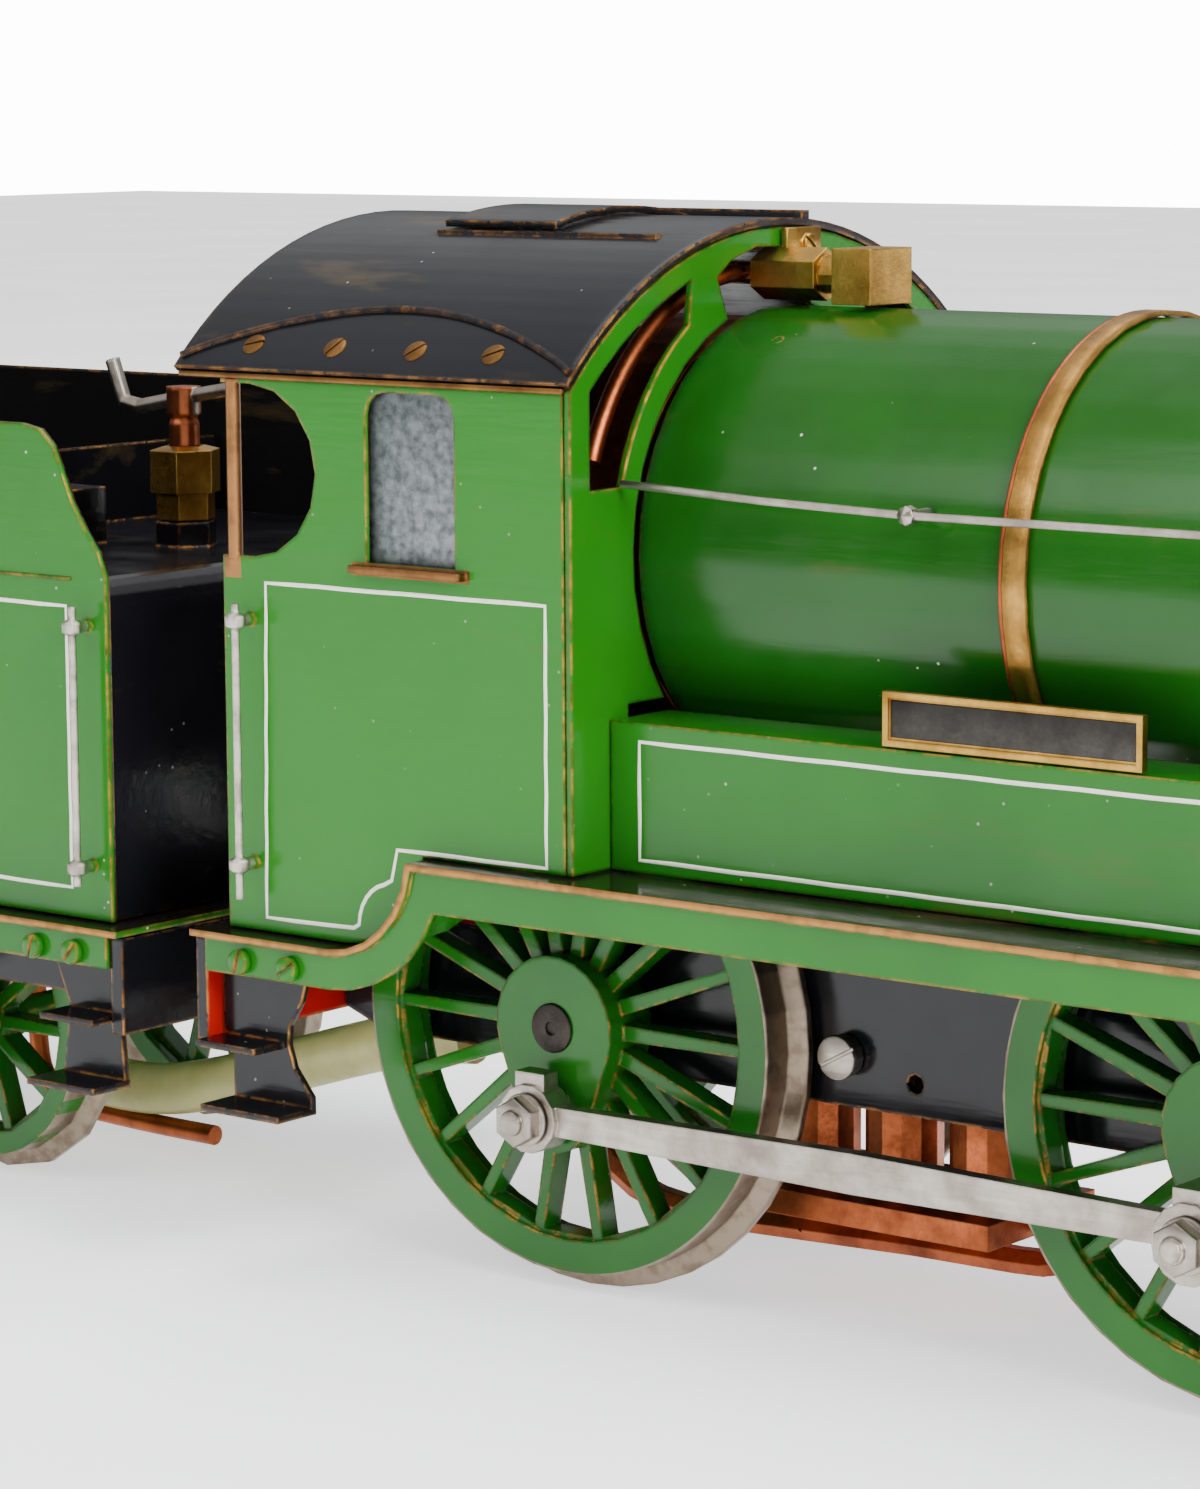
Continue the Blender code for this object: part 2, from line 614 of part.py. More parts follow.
def seated_on(obj, radius):
    """Cuts the foot of a boiler fitting to the barrel it stands on."""
    room = rod(obj.name + "_seat", radius + GAP, place(60, 0, BOILER_Z), place(240, 0, BOILER_Z),
               'X', steps=ROUND)
    return cut(obj, room)


def chimney_and_dome():
    foot = BOILER_Z + 26
    profile = [(8.0, 147), (8.8, 146.0), (7.2, 143.2), (6.6, 138), (7.4, 131), (13.2, 126.6),
               (13.2, foot), (4.8, foot), (4.8, 147), (8.0, 147)]
    chimney = turned("chimney", profile, place(208, 0, 0), 'Z', "black", steps=20)
    seated_on(chimney, SMOKEBOX_R)
    profile = [(0, 146.0), (5.0, 145.2), (8.6, 142.8), (10.4, 138.6), (10.8, 131.6), (15.5, 127),
               (15.5, foot), (0, foot)]
    dome = turned("dome", profile, place(122, 0, 0), 'Z', "brass", steps=20)
    seated_on(dome, BOILER_R)


def steam_union():
    """Square block on the boiler, a hexagon nut, and the copper pipe into the cab."""
    middle = 131.3
    block = box("steam_union", (27.5, 33.6), (-5.0, 4.2), (BOILER_Z + BOILER_R + 0.5, 134.9), "brass")
    thread = rod("union_thread", 2.5, place(22.0, 0, middle), place(28.5, 0, middle), 'X', steps=12)
    nut = hexagon("union_nut", 6.0, place(13.0, 0, middle), 10.2, 'X')
    pipe = rod("union_pipe", 1.6, place(5.2, 0, middle), place(14.0, 0, middle), 'X', steps=12)
    join(block, thread, nut, pipe)


def firebox_and_burner():
    """Firebox box open below, the three-wick spirit burner, and its feed pipe."""
    shell = box("firebox", (18, 62), (-15.5, 15.5), (27.6, 65.6), "iron")
    cut(shell, box("firebox_room", (19.2, 60.8), (-14.3, 14.3), (20, 64.4)))
    cut(shell, rod("firebox_stay_hole", 3.2, place(40.4, -18, DRIVER_R), place(40.4, 18, DRIVER_R),
                   'Y', steps=12))
    tray = box("spirit_burner", (14.5, 57.5), (-12.5, 12.5), (8.9, 12.3), "copper")
    for i in range(3):
        x = 22.5 + 13.4 * i
        wick = turned(f"wick_tube_{i}", [(5.2, 25), (5.2, 11), (0, 11), (0, 13), (4.3, 13),
                                         (4.3, 25), (5.2, 25)], place(x, 0, 0), 'Z', steps=12)
        join(tray, wick)
    route = [(-37.5, 0, 22.6), (-33, 0, 22.8), (-28, 0, 22.0), (-22, 0, 17.5), (-16, 0, 10.5),
             (-9, 0, 5.4), (0, 0, 3.6), (12, 0, 3.6), (38, 0, 4.6), (54, 0, 4.8), (60.5, 0, 5.6),
             (63.2, 0, 8.6), (61.5, 0, 10.7), (57.9, 0, 10.8)]
    tube("spirit_pipe", smooth(route, 2), 1.9, "copper", sides=1)


def splasher(name, side):
    """Long box over both driving wheels on one side: side, top and front end."""
    side_y = sorted((side * SPLASHER_Y, side * (SPLASHER_Y - SHEET)))
    top_y = sorted((side * SPLASHER_Y, side * 24.4))
    base = PLATE_Z + GAP
    start = CAB_FRONT + GAP
    shell = box(name, (start, SPLASHER_END), side_y, (base, SPLASHER_TOP), "green")
    top = box(name + "_top", (start, SPLASHER_END), top_y, (SPLASHER_TOP - SHEET, SPLASHER_TOP))
    end = box(name + "_end", (SPLASHER_END - SHEET, SPLASHER_END), top_y,
              (base, SPLASHER_TOP))
    join(shell, top, end)


def nameplate(name, side):
    """Blank plate with a raised border, standing on the splasher's edge."""
    faces = sorted((side * (SPLASHER_Y - 0.2), side * (SPLASHER_Y - 1.4)))
    board = box(name, (57.6, 94.4), faces, (SPLASHER_TOP + GAP, 83.4), "brass")
    sunk = sorted((side * (SPLASHER_Y + 0.5), side * (SPLASHER_Y - 0.6)))
    cut(board, box(name + "_field", (58.4, 93.6), sunk, (SPLASHER_TOP + 1.1, 82.6)))


def boiler_handrail(name, side):
    """Handrail along the boiler on three pillars."""
    y = side * 34.2
    route = [(CAB_FRONT + 0.6, y, 106.2), (38, y, 105.2), (60, y, 104.6), (224, y, 104.6)]
    rail = tube(name, route, 0.55, "steel", sides=1)
    for i, x in enumerate((60.0, 126.0, 192.0)):
        radius = BOILER_R if x < BOILER_END else SMOKEBOX_R
        rise = 104.6 - BOILER_Z
        skin = sqrt(radius ** 2 - rise ** 2) + GAP
        ends = sorted((side * skin, side * 33.8))
        post = rod(f"{name}_post_{i}", 0.7, place(x, ends[0], 104.6), place(x, ends[1], 104.6), 'Y',
                   steps=6)
        knob = turned(f"{name}_knob_{i}", [(0, 1.4), (1.2, 0.7), (1.2, -0.7), (0, -1.4)],
                      place(x, y, 104.6), 'Y', steps=8)
        join(rail, post, knob)


# ---------------------------------------------------------------- cab

def cab_side(name, side):
    """Cab side with its rear opening, window and handrail."""
    base = LOW_Z + GAP
    foot = drop_points(DROP_R - GAP, PLATE_Z + GAP, REAR_DROP_X)
    outline = [(CAB_REAR, base)] + foot + [(CAB_FRONT - SHEET - GAP, PLATE_Z + GAP)]
    outline += [(CAB_FRONT - SHEET - GAP, 118.0), (CAB_REAR, 118.0), (CAB_REAR, 117.3)]
    outline += arc((-38.6, 105.9), 11.4, 90, -90, 9)
    outline += [(CAB_REAR, 94.5)]
    window = [(-18.4, 94.9), (-3.4, 94.9)] + arc((-6.4, 114.0), 3.0, 0, 90, 4)
    window += arc((-15.4, 114.0), 3.0, 90, 180, 4)
    faces = sorted((side * CAB_HALF, side * (CAB_HALF - SHEET)))
    sheet = plate(name, [outline, window], "XZ", faces[0], faces[1], "green")
    pillar = rod(name + "_pillar", 1.0, place(-42.0, side * (CAB_HALF - 0.5), 94.0),
                 place(-42.0, side * (CAB_HALF - 0.5), 117.8), 'Z', steps=10)
    ledge = sorted((side * (CAB_HALF - 0.5), side * (CAB_HALF + 1.5)))
    sill = box(name + "_sill", (-20.4, -1.6), ledge, (93.6, 94.6))
    rail = handrail(name, side, -39.0, (49.0, 88.5), (53.6, 86.2), CAB_HALF)
    return join(sheet, pillar, sill, *rail)


def handrail(name, side, x, ends, knobs, wall):
    """Vertical handrail with two pillars, standing off a plate's outer face."""
    y = side * (wall + 3.0)
    made = [rod(name + "_rail", 0.55, place(x, y, ends[0]), place(x, y, ends[1]), 'Z', steps=6)]
    for i, z in enumerate(knobs):
        span = sorted((side * (wall - 0.4), y))
        made.append(rod(f"{name}_stud_{i}", 0.9, place(x, span[0], z), place(x, span[1], z), 'Y', steps=6))
        made.append(turned(f"{name}_knob_{i}", [(0, 1.5), (1.4, 0.7), (1.4, -0.7), (0, -1.5)],
                           place(x, y, z), 'Z', steps=8))
    return made


def cab_front():
    """Cab front plate, open round the boiler and at its two upper windows."""
    half = CAB_HALF - 0.1
    eave = ROOF_Z + sqrt((ROOF_R - SHEET - GAP) ** 2 - half ** 2)
    edge = asin((eave - ROOF_Z) / (ROOF_R - SHEET - GAP)) * 180 / pi
    outline = [(-half, PLATE_Z + GAP)] + arc((0, ROOF_Z), ROOF_R - SHEET - GAP, 180 - edge, edge, 17)
    outline += [(half, PLATE_Z + GAP), (SPLASHER_Y - 4, PLATE_Z + GAP)]
    opening = BOILER_R + 0.6
    foot = asin((78.0 - BOILER_Z) / opening) * 180 / pi
    outline += [(SPLASHER_Y - 4, 78.0)] + arc((0, BOILER_Z), opening, foot, 77, 14)
    outline += [(5.0, 134.6), (-5.0, 134.9), (-10.4, 133.3), (-13.4, 131.2)]
    outline += arc((0, BOILER_Z), opening, 111, 180 - foot, 12)
    outline += [(4 - SPLASHER_Y, 78.0), (4 - SPLASHER_Y, PLATE_Z + GAP)]
    holes = []
    for side in (-1, 1):
        outer = arc((0, ROOF_Z), 56.6, 134.6, 109.3, 7)
        inner = arc((0, BOILER_Z), 34.6, 124.0, 165.0, 7)
        holes.append([(-side * y, z) for y, z in outer + inner + [(-39.8, 105.6)]])
    plate("cab_front", [outline] + holes, "YZ", CAB_FRONT - SHEET, CAB_FRONT, "green")


def cab_roof():
    """Arched roof with the opening that the sliding hatch covers, and the hatch's two guides."""
    edge = 43.0
    outer = arc((0, ROOF_Z), ROOF_R, 180 - edge, edge, 29)
    inner = arc((0, ROOF_Z), ROOF_R - SHEET, edge, 180 - edge, 29)
    roof = plate("cab_roof", [outer + inner], "YZ", -51.6, CAB_FRONT + 0.2, "black")
    cut(roof, box("hatch_opening", (-27, -12), (-11, 11), (130, 145)))
    for side, label, top in ((-1, "right", 136.7), (1, "left", 138.9)):
        guide = sorted((side * 15.2, side * 16.8))
        join(roof, box(f"hatch_guide_{label}", (-29, 8), guide, (133.5, top)))


def roof_hatch():
    """Curved cover that slides forward between the two guides."""
    edge = 76.2
    outer = arc((0, ROOF_Z), ROOF_R + GAP + SHEET, 180 - edge, edge, 15)
    inner = arc((0, ROOF_Z), ROOF_R + GAP, edge, 180 - edge, 15)
    plate("roof_hatch", [outer + inner], "YZ", -29.3, -10.2, "black")


def cab_floor():
    """Folded floor: a low gangway with benches over the rear driving wheels."""
    low = PLATE_Z + 1.2
    bench = 73.0
    half = CAB_HALF - SHEET - GAP
    top = [(-half, bench), (-18.0, bench), (-18.0, low), (18.0, low), (18.0, bench), (half, bench)]
    under = [(half, bench - SHEET), (18.0 + SHEET, bench - SHEET), (18.0 + SHEET, low - SHEET),
             (-18.0 - SHEET, low - SHEET), (-18.0 - SHEET, bench - SHEET), (-half, bench - SHEET)]
    plate("cab_floor", [top + under], "YZ", CAB_REAR, CAB_FRONT - SHEET - GAP, "black")


def regulator():
    """Regulator lever on its spindle in the boiler's back end."""
    lever = box("regulator_handle", (-5.6, -4.2), (-1.2, 14.0), (107.0, 109.4), "steel")
    spindle = turned("regulator_spindle", [(0, 6.4), (1.9, 6.4), (1.9, 0), (0, 0)],
                     place(-7.9, 0, 108.2), 'X', steps=12)
    grip = turned("regulator_grip", [(0, 8), (1.5, 7.2), (1.5, 0), (0, 0)], place(-12.0, 13.0, 108.2),
                  'X', steps=10)
    join(lever, spindle, grip)


def cab_step(name, side):
    """Hanging step plate with two treads."""
    base = LOW_Z - SHEET - GAP
    outline = [(-45.0, base), (-28.6, base), (-31.0, 35.4), (-33.2, 32.0), (-33.4, 29.4),
               (-32.4, 26.4), (-29.4, 22.8), (-29.4, 20.4), (-43.4, 20.4), (-43.4, 28.0),
               (-45.0, 30.6)]
    faces = sorted((side * 43.0, side * 43.9))
    step = plate(name, [outline], "XZ", faces[0], faces[1], "black")
    upper = box(name + "_upper", (-45.0, -34.4), sorted((side * 43.2, side * 49.6)), (28.8, 29.7))
    lower = box(name + "_lower", (-43.4, -29.4), sorted((side * 43.2, side * 50.6)), (20.4, 21.3))
    join(step, upper, lower)


# ---------------------------------------------------------------- tender

def tender_side(name, side):
    """Tender side with its swept front edge and handrail."""
    base = SOLE_Z + GAP
    front = [(TANK_FRONT + 0.6, base), (TANK_FRONT + 0.6, 90.0), (-67.2, 93.2), (-69.6, 96.2),
             (-72.0, 99.8), (-73.8, 104.0), (-75.4, 107.4), (-77.8, 109.6), (-81.5, SIDE_TOP)]
    outline = front + [(TENDER_REAR + 4.4, SIDE_TOP), (TENDER_REAR + 4.4, base)]
    faces = sorted((side * CAB_HALF, side * (CAB_HALF - SHEET)))
    sheet = plate(name, [outline], "XZ", faces[0], faces[1], "green")
    return join(sheet, *handrail(name, side, -69.4, (47.5, 86.0), (50.0, 83.2), CAB_HALF))


def tender_tank():
    """Tank with a rounded front top edge, its rear plate rising to the height of the sides."""
    half = CAB_HALF - SHEET - GAP
    rear = TENDER_REAR + 4.4
    base = SOLE_Z + GAP
    radius = 5.0
    outer = [(TANK_FRONT, base)] + arc((TANK_FRONT - radius, TANK_TOP - radius), radius, 0, 90, 6)
    outer += [(rear + SHEET, TANK_TOP), (rear + SHEET, SIDE_TOP), (rear, SIDE_TOP), (rear, base)]
    tank = plate("tender_tank", [outer], "XZ", -half, half, "black")
    inner = [(TANK_FRONT - SHEET, base - 5)]
    inner += arc((TANK_FRONT - radius, TANK_TOP - radius), radius - SHEET, 0, 90, 6)
    inner += [(rear + SHEET, TANK_TOP - SHEET), (rear + SHEET, base - 5)]
    cut(tank, plate("tank_room", [inner], "XZ", SHEET - half, half - SHEET))
    bulkhead = box("tank_bulkhead", (-128.0, -126.6), (0.5 - half, half - 0.5),
                   (TANK_TOP - 0.4, 101.0))
    outlet = box("tank_outlet", (-112.0, -104.5), (-12.0, -4.5), (TANK_TOP - 0.4, 97.5))
    neck = turned("filler_neck", [(9.5, 97.0), (9.5, 88.8), (0, 88.8), (0, 90.2), (8.4, 90.2),
                                  (8.4, 97.0), (9.5, 97.0)], place(-258, 0, 0), 'Z', steps=24)
    valve = turned("valve_base", [(0, 92.8), (4.6, 92.8), (4.6, TANK_TOP - 0.4), (0, TANK_TOP - 0.4)],
                   place(-92.6, 0, 0), 'Z', steps=6)
    join(tank, bulkhead, outlet, neck, valve)


def tender_valve():
    """Screw-down valve: the gland nut that stays, and the spindle that turns in it."""
    centre = place(-92.6, 0, 0)
    turned("tender_valve_body", [(3.0, 103.8), (5.3, 103.2), (5.3, 97.0), (4.4, 97.0),
                                 (4.4, 93.1), (0, 93.1), (0, 94.6), (3.0, 94.6),
                                 (3.0, 103.8)], centre, 'Z', "brass", steps=6)
    head = turned("tender_valve_handle", [(0, 112.6), (2.6, 112.4), (2.6, 108.4), (2.0, 107.8),
                                          (2.3, 107.0), (2.3, 95.0), (0, 95.0)], centre, 'Z',
                  "copper", steps=12)
    bar = tube("valve_bar", [(-82.8, 0, 112.4), (-92.6, 0, 110.8), (-101.4, 0, 109.2),
                             (-104.6, 0, 109.8), (-107.0, 0, 115.8)], 1.15, sides=1)
    join(head, bar)


def filler_lid():
    """Round lid on the filler neck, hinged at its rear."""
    lid = turned("filler_lid", [(0, 99.6), (7, 99.2), (10.2, 98.2), (10.2, 97.3), (0, 97.3)],
                 place(-258, 0, 0), 'Z', "brass", steps=24)
    ear = box("filler_ear", (-271.0, -266.5), (-2.5, 2.5), (97.3, 98.6))
    join(lid, ear)


def tender_sole():
    """Running plate of the tender with its two valances and the wheel slots."""
    ends = (TENDER_REAR, TENDER_FRONT)
    sheet = box("tender_footplate", ends, (-PLATE_HALF, PLATE_HALF), (SOLE_Z - SHEET, SOLE_Z), "green")
    for side, label in ((-1, "right"), (1, "left")):
        faces = sorted((side * (PLATE_HALF - 1.6), side * (PLATE_HALF - 0.7)))
        join(sheet, box(f"tender_valance_{label}", (ends[0] + 2.5, ends[1] - 2.5), faces,
                        (36.6, SOLE_Z - SHEET / 2)))
        for i, x in enumerate(TENDER_AXLES):
            faces = sorted((side * 18.6, side * 28.8))
            cut(sheet, box(f"wheel_slot_{label}_{i}", (x - 14, x + 14), faces, (36, 46)))


def tender_frame(name, side):
    """Outside frame with horn guides, axleboxes, springs and the step at its front end."""
    top = SOLE_Z - SHEET - GAP
    faces = sorted((side * 32.6, side * 34.0))
    frame = box(name, (TENDER_REAR + 2.6, TENDER_FRONT - 2.6), faces, (29.0, top), "black")
    for i, x in enumerate(TENDER_AXLES):
        horn = [(x - 10, 30.4), (x - 7.4, 24.0), (x - 6.4, 13.0), (x + 6.4, 13.0), (x + 7.4, 24.0),
                (x + 10, 30.4)]
        join(frame, plate(f"{name}_horn_{i}", [horn], "XZ", faces[0], faces[1]))
    for i, x in enumerate(TENDER_AXLES):
        out = sorted((side * 33.2, side * 38.6))
        join(frame, box(f"{name}_axlebox_{i}", (x - 4.6, x + 4.6), out, (15.4, 26.0)))
        leaf = [(x - 17, 36.4), (x - 15, 34.0), (x, 29.4), (x + 15, 34.0), (x + 17, 36.4),
                (x + 12, 36.8), (x, 34.2), (x - 12, 36.8)]
        out = sorted((side * 33.4, side * 37.2))
        join(frame, plate(f"{name}_spring_{i}", [leaf], "XZ", out[0], out[1]))
        out = sorted((side * 33.6, side * 38.2))
        join(frame, box(f"{name}_buckle_{i}", (x - 2.4, x + 2.4), out, (25.0, 36.2)))
        out = sorted((side * 30.0, side * 36.9))
        hole = rod(f"{name}_bore_{i}", 2.5, place(x, out[0], TENDER_R), place(x, out[1], TENDER_R),
                   'Y', steps=8)
        cut(frame, hole)
    hanger = sorted((side * 43.0, side * 43.9))
    shape = [(-79, top), (-64.8, top), (-64.8, 30), (-63.9, 19.4), (-76.0, 19.4), (-74.4, 30)]
    bracket_y = sorted((side * 33.3, side * 43.5))
    join(frame, box(f"{name}_bracket", (-78, -66), bracket_y, (top - 1.6, top - 0.4)),
         plate(f"{name}_hanger", [shape], "XZ", hanger[0], hanger[1]),
         box(f"{name}_tread_low", (-76.4, -63.6), sorted((side * 43.3, side * 50.6)), (19.6, 20.5)),
         box(f"{name}_tread_high", (-74.6, -64.5), sorted((side * 43.3, side * 49.6)), (28.9, 29.8)))


def tender_beams():
    """Front beam with the drawbar, and the rear buffer beam."""
    top = SOLE_Z - SHEET - GAP
    front = box("tender_front_beam", (TENDER_FRONT - 2.2, TENDER_FRONT), (-46.5, 46.5), (27.6, top),
                "black")
    bar = box("drawbar", (-63, -41), (-3, 3), (34.2, 36.4))
    eye = turned("drawbar_eye", [(5.0, 36.4), (5.0, 34.2), (2.1, 34.2), (2.1, 36.4), (5.0, 36.4)],
                 place(DRAWBAR_X, 0, 0), 'Z', steps=12)
    join(front, bar, eye)
    cut(front, rod("drawbar_hole", 2.1, place(DRAWBAR_X, 0, 30), place(DRAWBAR_X, 0, 40), 'Z', steps=12))
    buffer_beam("tender_rear_beam", TENDER_REAR, -1, top)


def tender_hose():
    """Soft feed hose from the tender's outlet, sagging under the drawbar to the engine."""
    route = [(-117, 0, 7.2), (-108, 0, 6.4), (-98, 0, 7.0), (-86, 0, 9.8), (-72, 0, 14.2),
             (-58, 0, 18.6), (-47, 0, 21.4), (-38.2, 0, 22.5)]
    tube("spirit_hose", smooth(route, 2), 3.9, "hose")


def tender():
    for side, label in ((-1, "right"), (1, "left")):
        tender_side(f"tender_side_{label}", side)
        tender_frame(f"tender_frame_{label}", side)
    tender_tank()
    tender_valve()
    filler_lid()
    tender_sole()
    tender_beams()
    tender_hose()
    for i, x in enumerate(TENDER_AXLES):
        small_wheelset(f"tender_wheelset_{i + 1}", x, TENDER_R, 36.4, 10)


# ---------------------------------------------------------------- assembly

def engine():
    for side, label in ((-1, "right"), (1, "left")):
        main_frame(f"main_frame_{label}", side)
        running_plate(f"running_plate_{label}", side)
        splasher(f"splasher_{label}", side)
        nameplate(f"nameplate_{label}", side)
        boiler_handrail(f"boiler_handrail_{label}", side)
        cab_side(f"cab_side_{label}", side)
        cab_step(f"cab_step_{label}", side)
    frame_spacer()
    drag_beam()
    buffer_beam("front_buffer_beam", BEAM_X, 1, LOW_Z - SHEET - GAP)
    cylinder_saddle()
    boiler()
    smokebox()
    smokebox_door()
    chimney_and_dome()
    steam_union()
    firebox_and_burner()
    cab_front()
    cab_roof()
    roof_hatch()
    cab_floor()
    regulator()
    wheels_and_rods()
    bogie()


def shade(objects):
    """Works out each piece's modifiers, and shades it smooth with its real corners sharp."""
    bpy.context.view_layer.update()
    graph = bpy.context.evaluated_depsgraph_get()
    meshes = [bpy.data.meshes.new_from_object(obj.evaluated_get(graph)) for obj in objects]
    for obj, mesh in zip(objects, meshes):
        mesh.shade_smooth()
        mesh.set_sharp_from_angle(angle=SHARP)
        mesh.name = obj.name
        obj.modifiers.clear()
        obj.data = mesh


engine()
tender()
shade(list(PARTS.objects))
bpy.context.view_layer.update()
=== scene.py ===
"""Model steam locomotive and tender: paint, metal and small fittings over the loaded frame.

Run as a script. Places are in millimetres ahead of the rear driving axle, to the left of the
centre line and above the rails, and at() turns them into the frame's metres.
"""
from math import cos, pi, radians, sin, sqrt

import bmesh
import bpy
from mathutils import Matrix, Vector


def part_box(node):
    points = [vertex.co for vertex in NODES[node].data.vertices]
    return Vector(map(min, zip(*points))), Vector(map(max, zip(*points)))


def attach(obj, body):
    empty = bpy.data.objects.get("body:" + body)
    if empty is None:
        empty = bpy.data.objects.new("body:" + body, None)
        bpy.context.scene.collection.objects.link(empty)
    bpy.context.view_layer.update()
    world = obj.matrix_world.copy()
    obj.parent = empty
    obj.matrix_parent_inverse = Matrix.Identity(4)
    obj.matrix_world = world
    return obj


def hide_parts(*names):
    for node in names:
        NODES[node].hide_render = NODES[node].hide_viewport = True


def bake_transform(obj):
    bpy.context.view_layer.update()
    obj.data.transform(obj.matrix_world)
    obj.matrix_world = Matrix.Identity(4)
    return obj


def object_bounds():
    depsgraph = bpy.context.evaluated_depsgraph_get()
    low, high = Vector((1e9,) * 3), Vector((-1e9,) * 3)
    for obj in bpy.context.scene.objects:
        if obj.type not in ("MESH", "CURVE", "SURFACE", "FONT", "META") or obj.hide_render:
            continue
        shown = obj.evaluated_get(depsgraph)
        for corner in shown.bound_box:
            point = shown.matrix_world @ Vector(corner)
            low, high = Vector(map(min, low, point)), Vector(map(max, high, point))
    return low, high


bl_info = {
    "name": "Model Steam Locomotive",
    "version": (1, 0, 0),
    "blender": (4, 5, 0),
    "location": "View3D > Sidebar > Locomotive",
    "description": "Paints and fits out a model steam locomotive and its tender",
    "category": "Object",
}

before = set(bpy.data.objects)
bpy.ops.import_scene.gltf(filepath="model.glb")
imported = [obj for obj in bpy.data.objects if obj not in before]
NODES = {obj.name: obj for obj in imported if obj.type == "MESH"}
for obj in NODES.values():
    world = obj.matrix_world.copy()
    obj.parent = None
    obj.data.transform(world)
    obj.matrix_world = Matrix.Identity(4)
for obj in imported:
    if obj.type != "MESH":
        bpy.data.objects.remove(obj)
CAD_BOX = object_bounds()

MM = 0.001
DRIVER_R = 33.5            # tread radius of the driving wheels
WHEEL_LOW, WHEEL_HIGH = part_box("rear_driving_wheel_right")
AXLE = (WHEEL_LOW + WHEEL_HIGH) / 2
SIDES = (("right", -1), ("left", 1))
BOILER_Z = 96.7            # boiler centre line
ROOF_R, ROOF_Z = 61.0, 77.7  # roof strips' radius and the height of the roof's centre


def at(x, y, z):
    """Metres in the frame from millimetres off the rear axle, the centre line and the rails."""
    return Vector((AXLE.x + x * MM, y * MM, AXLE.z + (z - DRIVER_R) * MM))


# ---------------------------------------------------------------- sizes a user would change

class FinishSettings(bpy.types.PropertyGroup):
    green: bpy.props.StringProperty(
        name="Green", description="Body green, as an sRGB hex value", default="#1e6f13")
    black: bpy.props.StringProperty(
        name="Black", description="Roof and frame black, as an sRGB hex value", default="#16161a")
    line_colour: bpy.props.StringProperty(
        name="Lining", description="Colour of the painted lines", default="#f1eee0")
    line_width: bpy.props.FloatProperty(
        name="Line width", description="Width of the painted lines", default=0.56 * MM,
        min=0.2 * MM, max=2 * MM, unit='LENGTH', precision=5)
    wear: bpy.props.FloatProperty(
        name="Wear", description="How far the paint is worn off the corners", default=0.5,
        min=0.0, max=1.0, subtype='FACTOR')


class FittingSettings(bpy.types.PropertyGroup):
    screw_radius: bpy.props.FloatProperty(
        name="Screw radius", description="Radius of a slotted screw head", default=1.7 * MM,
        min=0.5 * MM, max=4 * MM, unit='LENGTH', precision=5)
    nut_size: bpy.props.FloatProperty(
        name="Nut size", description="Crank nut across its flats", default=5.8 * MM,
        min=3 * MM, max=10 * MM, unit='LENGTH', precision=5)
    rivet_radius: bpy.props.FloatProperty(
        name="Rivet radius", description="Radius of a rivet head", default=0.7 * MM,
        min=0.3 * MM, max=2 * MM, unit='LENGTH', precision=5)
    floor_size: bpy.props.FloatProperty(
        name="Floor size", description="Side of the square floor", default=8.0, min=2.0,
        unit='LENGTH')


# ---------------------------------------------------------------- materials

def linear(code):
    """Linear colour of an sRGB hex value."""
    parts = [int(code[i:i + 2], 16) / 255 for i in (1, 3, 5)]
    return (*[p / 12.92 if p <= 0.04045 else ((p + 0.055) / 1.055) ** 2.4 for p in parts], 1.0)


def add_node(tree, kind, settings=None, inputs=None):
    """Adds a node, with its settings, and its inputs as values or as links."""
    node = tree.nodes.new("ShaderNode" + kind)
    for key, value in (settings or {}).items():
        setattr(node, key, value)
    for key, value in (inputs or {}).items():
        if isinstance(value, bpy.types.NodeSocket):
            tree.links.new(value, node.inputs[key])
        else:
            node.inputs[key].default_value = value
    return node


def start_material(name, roughness, metallic=0.0):
    """A new material: its tree, its shader and the object coordinates."""
    material = bpy.data.materials.new(name)
    material.use_nodes = True
    tree = material.node_tree
    shader = tree.nodes["Principled BSDF"]
    shader.inputs["Roughness"].default_value = roughness
    shader.inputs["Metallic"].default_value = metallic
    coords = add_node(tree, "TexCoord").outputs["Object"]
    return material, tree, shader, coords


def patches(tree, coords, size, low=0.4, high=0.6, detail=3.0, stretch=(1.0, 1.0, 1.0)):
    """Soft patches about size millimetres across, running from 0 to 1."""
    spread = add_node(tree, "Mapping", {}, {"Vector": coords, "Scale": stretch})
    noise = add_node(tree, "TexNoise", {}, {"Vector": spread.outputs[0], "Scale": 1000 / size,
                                            "Detail": detail, "Roughness": 0.6})
    return add_node(tree, "MapRange", {}, {"Value": noise.outputs["Fac"], "From Min": low,
                                           "From Max": high}).outputs["Result"]


def specks(tree, coords, spacing, radius, share):
    """Small round specks of a radius in millimetres, on a share of cells a spacing apart."""
    cells = add_node(tree, "TexVoronoi", {}, {"Vector": coords, "Scale": 1000 / spacing})
    near = add_node(tree, "Math", {"operation": 'LESS_THAN'},
                    {0: cells.outputs["Distance"], 1: radius / spacing})
    pick = add_node(tree, "Math", {"operation": 'LESS_THAN'},
                    {0: cells.outputs["Color"], 1: share})
    return add_node(tree, "Math", {"operation": 'MULTIPLY'},
                    {0: near.outputs[0], 1: pick.outputs[0]}).outputs[0]


